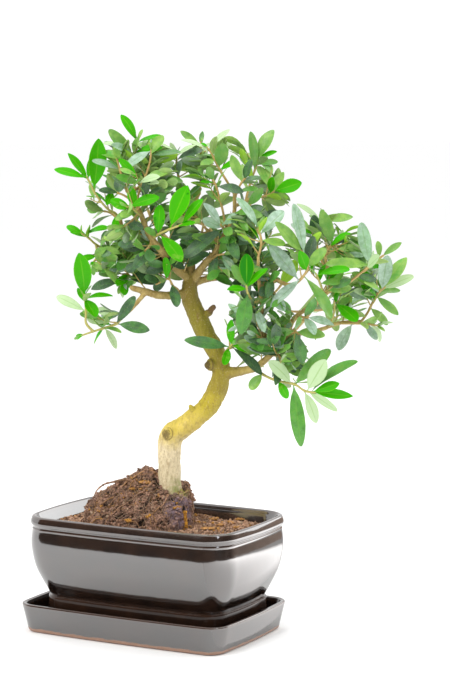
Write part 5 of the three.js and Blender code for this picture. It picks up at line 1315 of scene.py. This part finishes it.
def feature_blades(lines, features, tones, draw):
    """A spray's feature blades; a place's whole part names the twig, and the rest is the share along it."""
    blades = []
    for (place, u, v, z, width), tone in zip(features, tones):
        twig = int(place)
        base, direction = along_line(lines[twig], place - twig)
        roll = (draw() - 0.5) * 0.9
        arch = 0.02 + 0.06 * draw()
        blades.append(dict(base=base, twig=direction, tip=tree(u, v, z), width=width, face=UPWARD_FACE,
                           roll=roll, arch=arch, tone=tone))
    return blades


def grown_blades(lines, pairs, size, draw, odds):
    """Blades in pairs that cross, spread along a spray's twigs; a blade's tone goes by its width."""
    blades = []
    phase = draw() * math.pi
    for pair in range(pairs):
        line = lines[pair % len(lines)]
        share = 0.3 + 0.69 * (pair + 0.5) / pairs
        point, direction = along_line(line, min(share, 0.97))
        start = Vector((0, 0, 1)).cross(direction).normalized()
        for side in (0, math.pi):
            out = Quaternion(direction, phase + pair * math.pi / 2 + side) @ start
            lean = 0.75 + 0.35 * draw()
            reach = size * (0.95 + 0.45 * draw())
            ray = direction * math.cos(lean) + out * math.sin(lean)
            width = reach * (0.36 + 0.1 * draw())
            roll = (draw() - 0.5) * 0.7
            arch = 0.02 + 0.07 * draw()
            tone = odds[int(width * 97) % len(odds)]
            blades.append(dict(base=point, twig=direction, tip=point + ray * reach, width=width,
                               face=direction, roll=roll, arch=arch, tone=tone))
    return blades


def bent_blade(blade, bend):
    """A blade turned about its twig, lifted and shortened."""
    turn, lift, shorter = bend
    span = (Quaternion(blade["twig"], turn) @ (blade["tip"] - blade["base"])) * shorter
    span.z += lift * span.length * 0.5
    return {**blade, "tip": blade["base"] + span, "width": blade["width"] * shorter}


def blade_frame(blade):
    """The direction that a blade faces, and the direction of its width."""
    along = (blade["tip"] - blade["base"]).normalized()
    face = (blade["face"] - along * blade["face"].dot(along)).normalized()
    across = along.cross(face)
    turned = face * math.cos(blade["roll"]) + across * math.sin(blade["roll"])
    return turned, along.cross(turned)


FOUND_WITHIN = 0.12


def placed_blades(blades, corners):
    """The blades that the CAD node holds, each in the bend that its two tip corners there show."""
    placed = []
    for blade in blades:
        for bend in BENDS:
            tried = bent_blade(blade, bend)
            face, _ = blade_frame(tried)
            tips = [tried["tip"] + face * deep for deep in (-BLADE_HALF_THICKNESS, BLADE_HALF_THICKNESS)]
            if all(corners.find(tip * MM)[2] < FOUND_WITHIN * MM for tip in tips):
                placed.append(tried)
                break
    return placed


LEAF_SHARES = (0, 0.05, 0.11, 0.19, 0.3, 0.43, 0.56, 0.68, 0.79, 0.88, 0.945, 0.98, 1)
SMALL_LEAF_SHARES = (0, 0.06, 0.15, 0.3, 0.5, 0.7, 0.86, 0.96, 1)
LEAF_ACROSS = (-1, -0.62, -0.12, 0.12, 0.62, 1)
LEAF_SKIN = 0.16
PETIOLE = 0.09


def leaf_faces(rows):
    """Faces over the top and underside points of a leaf and round its edge, and the slot of each."""
    columns = len(LEAF_ACROSS)
    below = rows * columns
    faces = []
    slots = []
    for row in range(rows - 1):
        first = row * columns
        for a in range(first, first + columns - 1):
            faces.append((a, a + columns, a + columns + 1, a + 1))
            faces.append((below + a, below + a + 1, below + a + columns + 1, below + a + columns))
            slots += [0, 1]
        left = (first, first + columns)
        right = (first + 2 * columns - 1, first + columns - 1)
        for one, two in (left, right):
            faces.append((one, below + one, below + two, two))
            slots.append(0)
    last = (rows - 1) * columns
    for col in range(columns - 1):
        faces.append((col, col + 1, below + col + 1, below + col))
        a = last + col
        faces.append((a + 1, a, below + a, below + a + 1))
        slots += [0, 0]
    return faces, slots


def leaf_form(form, blade, shares, draw):
    """A thin leaf on its blade's line: a short stalk, an oval outline, a fold, a twist and wavy edges."""
    face, across = blade_frame(blade)
    span = blade["tip"] - blade["base"]
    length = span.length
    fold = 0.04 + 0.34 * draw()
    twist = (draw() - 0.5) * 0.9
    droop = (draw() - 0.35) * 0.05
    phase = draw() * 6.3
    blunt = 0.44 + 0.28 * draw()
    widest = 1.0 + 0.35 * draw()
    tops = []
    unders = []
    place = []
    for share in shares:
        grown = max(share - PETIOLE, 0) / (1 - PETIOLE)
        oval = math.sin(math.pi * grown ** widest)
        half = max(blade["width"] * 0.5 * max(oval, 0) ** blunt, 0.42 * (1 - share) ** 0.5, 0.05)
        rise = 4 * share * (1 - share) * (blade["arch"] + droop) * length
        centre = blade["base"] + span * share + face * rise
        turn = twist * (share - 0.5)
        side = across * math.cos(turn) + face * math.sin(turn)
        up = face * math.cos(turn) - across * math.sin(turn)
        for c in LEAF_ACROSS:
            wave = 0.05 * half * math.sin(phase + 9 * share + (2 if c > 0 else 0)) * abs(c) ** 2
            p = centre + side * (c * half) + up * (fold * half * abs(c) ** 1.3 - fold * half * 0.4 + wave)
            skin = LEAF_SKIN * (1 - 0.55 * abs(c))
            tops.append(p + up * skin)
            unders.append(p - up * skin)
            place.append((c, share, 0))
    faces, slots = leaf_faces(len(shares))
    # The second tone value is the share of painted sheen that the leaf's look mixes in.
    youth, painted_sheen_share, pale = TONE_VALUES[blade["tone"]]
    youth += (draw() - 0.5) * 0.18
    form.add(tops + unders, faces, slots, (youth, painted_sheen_share * (0.7 + 0.5 * draw()), pale), place * 2)


LEAVES_A_TIP = 3
# Small leaves lean less along this axis, from the front to the back, than across it.
FLAT_AXIS = tree(0, 1, 0)


def twig_form(form, centres, radii, youth, joints):
    """A young stem with small swellings where leaves join it, tapering to a bud."""
    fine = [Vector(p) for p in smooth_line(centres, 5)]
    count = len(fine) - 1
    widths = []
    for i, p in enumerate(fine):
        share = i / count
        near = min(((p - joint).length for joint in joints), default=9)
        swell = 0.35 * max(1 - near / 1.4, 0)
        widths.append((radii[0] + (radii[1] - radii[0]) * share) * (0.92 - 0.25 * share) * (1 + swell))
    end = (fine[-1] - fine[-2]).normalized()
    fine += [fine[-1] + end * 1.0, fine[-1] + end * 2.0]
    widths += [widths[-1] * 0.9, widths[-1] * 0.25]
    form.add(*tube(fine, widths, 8), slot=2, tint=(youth, 0, 0))


def small_leaves(lines, draw, odds):
    """Small leaves at the tips of the young stems, which the solids leave out."""
    blades = []
    for line in lines:
        for _ in range(LEAVES_A_TIP):
            point, direction = along_line(line, 0.985)
            start = Vector((0, 0, 1)).cross(direction).normalized()
            out = Quaternion(direction, draw() * 2 * math.pi) @ start
            blades.append(leaf_on(point, direction, out, 0.3 + 0.5 * draw(), 5 + 5 * draw(), draw, odds))
    return blades


def leaf_on(point, direction, out, lean, reach, draw, odds):
    """A leaf that starts at a point of a stem and leans outward from its direction."""
    ray = direction * math.cos(lean) + out * math.sin(lean)
    ray = (ray - FLAT_AXIS * ray.dot(FLAT_AXIS) * 0.35).normalized()
    face = UPWARD_FACE * 0.6 + direction if draw() < 0.7 else direction
    width = reach * (0.33 + 0.1 * draw())
    roll = (draw() - 0.5) * 0.9
    arch = 0.08 * draw()
    tone = odds[int(draw() * len(odds))]
    return dict(base=point, twig=direction, tip=point + ray * reach, width=width, face=face, roll=roll,
                arch=arch, tone=tone)


# The crown's lobes, as (u, v, z of the middle, half sizes): side shoots fill them and stay inside.
CROWN_LOBES = (
    (-12, 0, 313, 38, 45, 33), (45, 5, 300, 50, 55, 42), (-18, 3, 265, 27, 41, 28), (105, 0, 250, 62, 55, 42),
    (76, -12, 228, 32, 40, 42), (98, -20, 190, 34, 30, 24), (-28, -24, 222, 24, 20, 15),
    (56, -14, 196, 18, 16, 14), (28, -12, 256, 34, 30, 20), (118, -14, 210, 26, 26, 20),
)
# Side shoots: the radius at both ends, how many a spray and a branch have, the shares of their length
# where leaf pairs stand, and the fewest leaves on one.
SHOOT_RADIUS = (0.62, 0.42)
SHOOTS_A_SPRAY = 4
SHOOTS_A_FULL_SPRAY = 11
SHOOTS_A_BRANCH = 2
SHOOT_PAIRS = (0.4, 0.72, 0.97)
SHOOT_LEAST_LEAVES = 3
FULL_SPRAYS = ("crest_left", "inner_left", "mid_left", "left_mid", "left_over", "left_under", "fork_mid",
  "fork_low", "mid_dark", "left_low", "right_top", "right_spur", "upper_right", "right_tip", "heart_left",
  "node_low", "low_dark", "arm_low", "low_centre", "left_inner", "broad_bright", "right_heart",
  "two_tone", "fork_tip", "mid_bright", "silver_pair")
# Branches that some sprays' shoots also start from.
SHOOT_BRANCHES = {
  "mid_left": ("left_arm",), "inner_left": ("left_arm",), "left_under": ("left_out_arm",),
  "left_over": ("left_out_arm",), "left_low": ("left_low_twig",), "fork_mid": ("fork", "fork_left"),
  "fork_low": ("fork", "cross_branch"), "crown_front": ("fork",), "mid_dark": ("fork",),
  "right_heart": ("cross_branch",), "heart_left": ("cross_branch", "inner_rise"), "mass_low": ("right_arm",),
  "node_low": ("right_fork",), "arm_low": ("right_fork",), "heart_leaf": ("right_fork",),
  "two_tone": ("right_arm",), "low_centre": ("left_low_arm", "left_arm"),
  "mid_top": ("leader",), "top_spire": ("leader", "top_side"), "right_spur": ("right_arm",),
}
# Wood that stays open to view where the trunk forks, as (u, v, z) of two ends and a reach.
OPEN_WOOD = [
    ((29, 0, 223), (26, 0, 249), 6.5),
    ((27, 0, 243), (43, -12, 264), 2.5),
    ((22, -2, 235), (-4, -14, 237), 3),
]
# A blade of this width or more stays open to view too.
LARGE_LEAF = 9


def hangs_before(blade, open_forms):
    """Whether a small leaf would hang before a form that stays open to view, as the tree is mostly seen."""
    for share in (0.3, 0.65, 1):
        u, v, z = to_tree(blade["base"].lerp(blade["tip"], share))
        for base, tip, reach in open_forms:
            along = Vector((tip[0] - base[0], tip[2] - base[2]))
            here = Vector((u - base[0], z - base[2]))
            part = min(max(here.dot(along) / along.length_squared, 0), 1)
            if v < tip[1] + 2 and (here - along * part).length < reach:
                return True
    return False


def in_crown(p):
    """Whether a place lies in one of the crown's lobes."""
    place = to_tree(p)
    for lobe in CROWN_LOBES:
        if sum(((a - b) / c) ** 2 for a, b, c in zip(place, lobe[:3], lobe[3:])) < 1:
            return True
    return False


def side_shoots(lines, count, draw, odds):
    """Thin shoots off a spray's twigs, each with leaves in crossed pairs, wherever the crown has room."""
    shoots = []
    for _ in range(count):
        line = lines[int(draw() * len(lines))]
        point, direction = along_line(line, 0.05 + 0.85 * draw())
        start = Vector((0, 0, 1)).cross(direction).normalized()
        turn = draw() * 2 * math.pi
        out = Quaternion(direction, turn) @ start
        lean = 0.7 + 0.6 * draw()
        length = 8 + 9 * draw()
        ray = direction * math.cos(lean) + out * math.sin(lean)
        end = point + ray * length + Vector((0, 0, 1.5))
        if not in_crown(end):
            continue
        stem = [point, point + ray * length * 0.5, end]
        blades = []
        for pair, share in enumerate(SHOOT_PAIRS):
            place, along = along_line(stem, share)
            side = ray.cross(out if pair % 2 else Vector((0, 0, 1))).normalized()
            for sign in (-1, 1):
                reach = (18.5 - 2 * pair) * (0.8 + 0.35 * draw())
                blade = leaf_on(place, along, side * sign, 0.75 + 0.35 * draw(), reach, draw, odds)
                if in_crown(blade["tip"]):
                    blades.append(blade)
        shoots.append((stem, blades))
    return shoots


def inside_box(point):
    """Whether a place lies in the box round the solids, which small leaves don't leave."""
    low, high = cad_box
    return all(low[axis] < point[axis] * MM < high[axis] for axis in range(3))


BLADE_SEED = 100
LEAF_SEED = 500


def read_spray(index, row, wood_lines):
    """A spray as the frame holds it: its twigs' lines, its place on the wood and its blades."""
    name, routes, pairs, size, features = row
    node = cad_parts[f"spray_{name}"].data
    corners = kdtree.KDTree(len(node.vertices))
    for vertex in node.vertices:
        corners.insert(vertex.co, vertex.index)
    corners.balance()
    bright = name in BRIGHT_SPRAYS
    plain = INNER_DARK_AND_SHADED_ODDS if name in INNER_SPRAYS else OUTER_ODDS
    odds = BRIGHT_ODDS if bright else plain
    seated, wood_centre = seat_twig(routes[0], wood_lines)
    lines = [[tree(*row) for row in route] for route in (seated, *routes[1:])]
    draw = seeded(BLADE_SEED + index)
    blades = feature_blades(lines, features, TONES.get(name, ""), draw)
    blades += grown_blades(lines, pairs, size, draw, odds)
    return dict(name=name, lines=lines, wood_centre=wood_centre, placed=placed_blades(blades, corners),
                bright=bright, plain=plain, odds=odds)


def grow_spray(index, spray, open_forms, looks):
    """One leafy spray: its twigs, its blades as leaves, and the shoots and small leaves about them."""
    name = spray["name"]
    lines = spray["lines"]
    draw = seeded(LEAF_SEED + index)

    def fits(blade):
        return inside_box(blade["tip"]) and not hangs_before(blade, open_forms)

    branches = [[tree(*row[:3]) for row in WOOD[branch]] for branch in SHOOT_BRANCHES.get(name, ())]
    count = SHOOTS_A_FULL_SPRAY if name in FULL_SPRAYS else SHOOTS_A_SPRAY
    count += SHOOTS_A_BRANCH * len(branches)
    extra = [blade for blade in small_leaves(lines, draw, spray["odds"]) if fits(blade)]
    form = Form()
    for stem, blades in side_shoots(lines + branches, count, draw, spray["plain"]):
        kept = [blade for blade in blades if fits(blade)]
        if len(kept) >= SHOOT_LEAST_LEAVES:
            twig_form(form, stem, SHOOT_RADIUS, 0.4, [])
            extra += kept
    joints = [b["base"] for b in spray["placed"]]
    for number, line in enumerate(lines):
        run = [spray["wood_centre"], *line] if number == 0 else line
        youth = 0.75 if spray["bright"] or number else 0.25
        twig_form(form, run, TWIG_RADIUS, youth, joints)
    for blade in spray["placed"]:
        leaf_form(form, blade, LEAF_SHARES, draw)
    for blade in extra:
        leaf_form(form, blade, SMALL_LEAF_SHARES, draw)
    show(form.mesh(f"leafy_{name}"), f"leafy_{name}", looks, f"spray_{name}", 60)


# Colours of the leaf's two sides, as (dark, fresh, middle, light, young, deep).
LEAF_GREENS = ((0.021, 0.076, 0.017), (0.075, 0.3, 0.018), (0.14, 0.33, 0.035), (0.26, 0.47, 0.06),
               (0.05, 0.38, 0.0008), (0.013, 0.2, 0.002))
LEAF_GREY_GREENS = ((0.19, 0.28, 0.13), (0.2, 0.34, 0.1), (0.26, 0.4, 0.12), (0.35, 0.5, 0.14),
                    (0.34, 0.6, 0.06), (0.2, 0.46, 0.05))


def leaf_looks():
    """The looks of a leaf's top, its underside and the young stems, in the order of their slots."""
    top = leaf_look("olive_leaf_top", LEAF_GREENS, painted_sheen_colour=(0.5, 0.66, 0.56), pale=(0.5, 0.66, 0.38),
                    roughness=0.33, underside=False)
    under = leaf_look("olive_leaf_underside", LEAF_GREY_GREENS, painted_sheen_colour=(0.32, 0.4, 0.32),
                      pale=(0.38, 0.48, 0.28), roughness=0.68, underside=True)
    return [top, under, twig_look()]


def make_sprays():
    """All the leafy sprays, each with the leaves that its own solid holds."""
    looks = leaf_looks()
    wood_lines = [smooth_line(points, 2 if name == "trunk" else 1) for name, points in WOOD.items()]
    sprays = [read_spray(index, spray, wood_lines) for index, spray in enumerate(SPRAYS)]
    open_forms = OPEN_WOOD + [(to_tree(b["base"]), to_tree(b["tip"]), b["width"] * 0.55)
                              for spray in sprays for b in spray["placed"] if b["width"] >= LARGE_LEAF]
    for index, spray in enumerate(sprays):
        grow_spray(index, spray, open_forms, looks)


# ---- Floor, light and camera -------------------------------------------------------------------------
CAMERA_ELEVATION = math.radians(5.75)
CAMERA_DISTANCE = 1.4277
CAMERA_LENS = 110.45
AIM_RIGHT = 0.04965
AIM_UP = 0.20431


def make_floor():
    """A wide pale floor, a little below the tray."""
    bpy.ops.mesh.primitive_circle_add(vertices=96, radius=60, fill_type="NGON", location=(0, 0, -0.0004))
    floor = bpy.context.object
    floor.name = "studio_floor"
    look = Look("pale_floor")
    look.set(Base_Color=look.mix(look.noise(400, 2), (0.94, 0.94, 0.94), (0.96, 0.96, 0.96)), Roughness=0.9)
    floor.data.materials.append(look.material)


def area_light(name, place, aim, size, power, colour=(1, 1, 1), gloss_only=False):
    """A soft rectangle of light; one that is for gloss only shows in the glaze and lights nothing else."""
    data = bpy.data.lights.new(name, "AREA")
    data.shape = "RECTANGLE"
    data.size, data.size_y = size
    data.energy = power
    data.color = colour
    lamp = bpy.data.objects.new(name, data)
    lamp.location = place
    lamp.rotation_mode = "QUATERNION"
    lamp.rotation_quaternion = (Vector(aim) - Vector(place)).to_track_quat("-Z", "Y")
    bpy.context.scene.collection.objects.link(lamp)
    if gloss_only:
        for ray in ("camera", "diffuse", "transmission"):
            setattr(lamp, f"visible_{ray}", False)


def seen_from(right, away, up):
    """A place to the right of the tree, away from the camera and up, in metres."""
    return Vector((right * TURN_COS - away * TURN_SIN, right * TURN_SIN + away * TURN_COS, up))


def make_light():
    """A bright white room, soft lights from the left, the right and above, and a strip for the glaze."""
    world = bpy.data.worlds.new("bright_studio")
    bpy.context.scene.world = world
    world.use_nodes = True
    background = world.node_tree.nodes["Background"]
    background.inputs["Color"].default_value = (1, 1, 1, 1)
    background.inputs["Strength"].default_value = 1.05
    aim = seen_from(0.05, 0, 0.18)
    area_light("key_softbox", seen_from(-0.9, -0.9, 1.3), aim, (0.9, 0.9), 14, (1, 0.985, 0.96))
    area_light("right_window", seen_from(1.3, 0.8, 0.5), aim, (1.4, 1.0), 9)
    area_light("top_panel", seen_from(0.2, 0.3, 1.5), aim, (1.2, 1.2), 7)
    area_light("corner_strip", (0.56, -0.29, 0.33), (0.08, -0.05, 0.05), (0.07, 0.6), 0.55, (0.9, 0.93, 1),
               gloss_only=True)


# A folding dark screen before the pot and to its right, as (x, y, height) of its upright edges, in metres.
SCREEN_EDGES = ((-0.9, -0.4, 0.8), (0.52, -0.4, 0.8), (0.6, 0.05, 0.5), (0.34, 0.42, 0.16), (0.05, 0.6, 0.16))
TABLE_NEAR = 0.084
TABLE_FAR = 2.0
TABLE_LEVEL = 1.38
TABLE_GLOW = 2.3
FAR_GLOW = 1.7


def gloss_card(name, points, faces, look):
    """A card seen only in the glaze, as the things around a studio table are."""
    mesh = bpy.data.meshes.new(name)
    mesh.from_pydata(points, [], faces)
    mesh.materials.append(look.material)
    card = bpy.data.objects.new(name, mesh)
    bpy.context.scene.collection.objects.link(card)
    for ray in ("camera", "diffuse", "shadow", "transmission"):
        setattr(card, f"visible_{ray}", False)


def make_screen():
    """The dark screen that the glaze mirrors, paler towards the back."""
    cloth = Look("dark_cloth")
    dark = cloth.mix(cloth.noise(60, 3), (0.02, 0.015, 0.012), (0.06, 0.035, 0.025))
    colour = cloth.mix(cloth.between(cloth.axes()[1], 0.12, 0.5), dark, (0.4, 0.3, 0.25))
    cloth.set(Base_Color=colour, Roughness=1.0)
    points = [(x, y, z) for x, y, top in SCREEN_EDGES for z in (0, top)]
    faces = [(k, k + 2, k + 3, k + 1) for k in range(0, len(points) - 2, 2)]
    gloss_card("dark_screen", points, faces, cloth)


def make_glowing_table_card():
    """A glowing card, no lamp, to the right of the tray, that the glaze mirrors as a bright table top."""
    table = Look("glowing_table_card")
    x, y, _ = table.axes()
    rise = table.times(table.between(x, TABLE_NEAR, 0.45), table.between(y, -0.5, 0.25))
    far_side = table.times(table.between(x, 0.085, 0.11), table.between(y, 0, 0.22))
    # The card's glow stands in for a bright table: a part that glows though it is no lamp.
    glow = table.plus(table.times(rise, TABLE_GLOW), TABLE_LEVEL)
    glow = table.plus(table.times(far_side, FAR_GLOW), glow)
    glow = table.times(glow, table.between(y, 0.27, 0.34, 1, 0.2))
    table.set(Base_Color=(0, 0, 0, 1), Roughness=1.0)
    table.set(Emission_Color=(1, 0.98, 0.97, 1), Emission_Strength=glow)
    near, far = TABLE_NEAR, TABLE_FAR
    corners = [(near, -far, 0.0004), (far, -far, 0.0004), (far, far, 0.0004), (near, far, 0.0004)]
    gloss_card("glowing_table_card", corners, [(0, 1, 2, 3)], table)


def make_camera():
    """The camera before the tree, looking down by a few degrees."""
    right = seen_from(1, 0, 0)
    forward = seen_from(0, 1, 0)
    back = Vector((0, 0, 1)) * math.sin(CAMERA_ELEVATION) - forward * math.cos(CAMERA_ELEVATION)
    data = bpy.data.cameras.new("tree_camera")
    data.lens = CAMERA_LENS
    data.sensor_width = 36
    data.clip_start = 0.05
    data.clip_end = 60
    camera = bpy.data.objects.new("tree_camera", data)
    camera.location = right * AIM_RIGHT + Vector((0, 0, AIM_UP)) + back * CAMERA_DISTANCE
    camera.rotation_mode = "QUATERNION"
    camera.rotation_quaternion = (-back).to_track_quat("-Z", "Y")
    bpy.context.scene.collection.objects.link(camera)
    bpy.context.scene.camera = camera


# ---- The whole ---------------------------------------------------------------------------------------
make_camera()
make_light()
make_floor()
make_screen()
make_glowing_table_card()
make_tray()
make_pot()
drain_look = mesh_look()
for node in ("drain_mesh_left", "drain_mesh_right"):
    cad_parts[node].data.materials.clear()
    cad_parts[node].data.materials.append(drain_look)
make_soil(earth_look("loose_potting_soil", dark=(0.2, 0.105, 0.065), light=(0.76, 0.48, 0.33),
                     chip=(0.66, 0.36, 0.16), by_trunk=False))
make_root_ball(earth_look("rooty_earth", dark=(0.08, 0.042, 0.03), light=(0.58, 0.34, 0.24),
                          chip=(0.6, 0.36, 0.22), by_trunk=True))
make_wood()
make_sprays()
bpy.context.scene.view_settings.view_transform = "Standard"
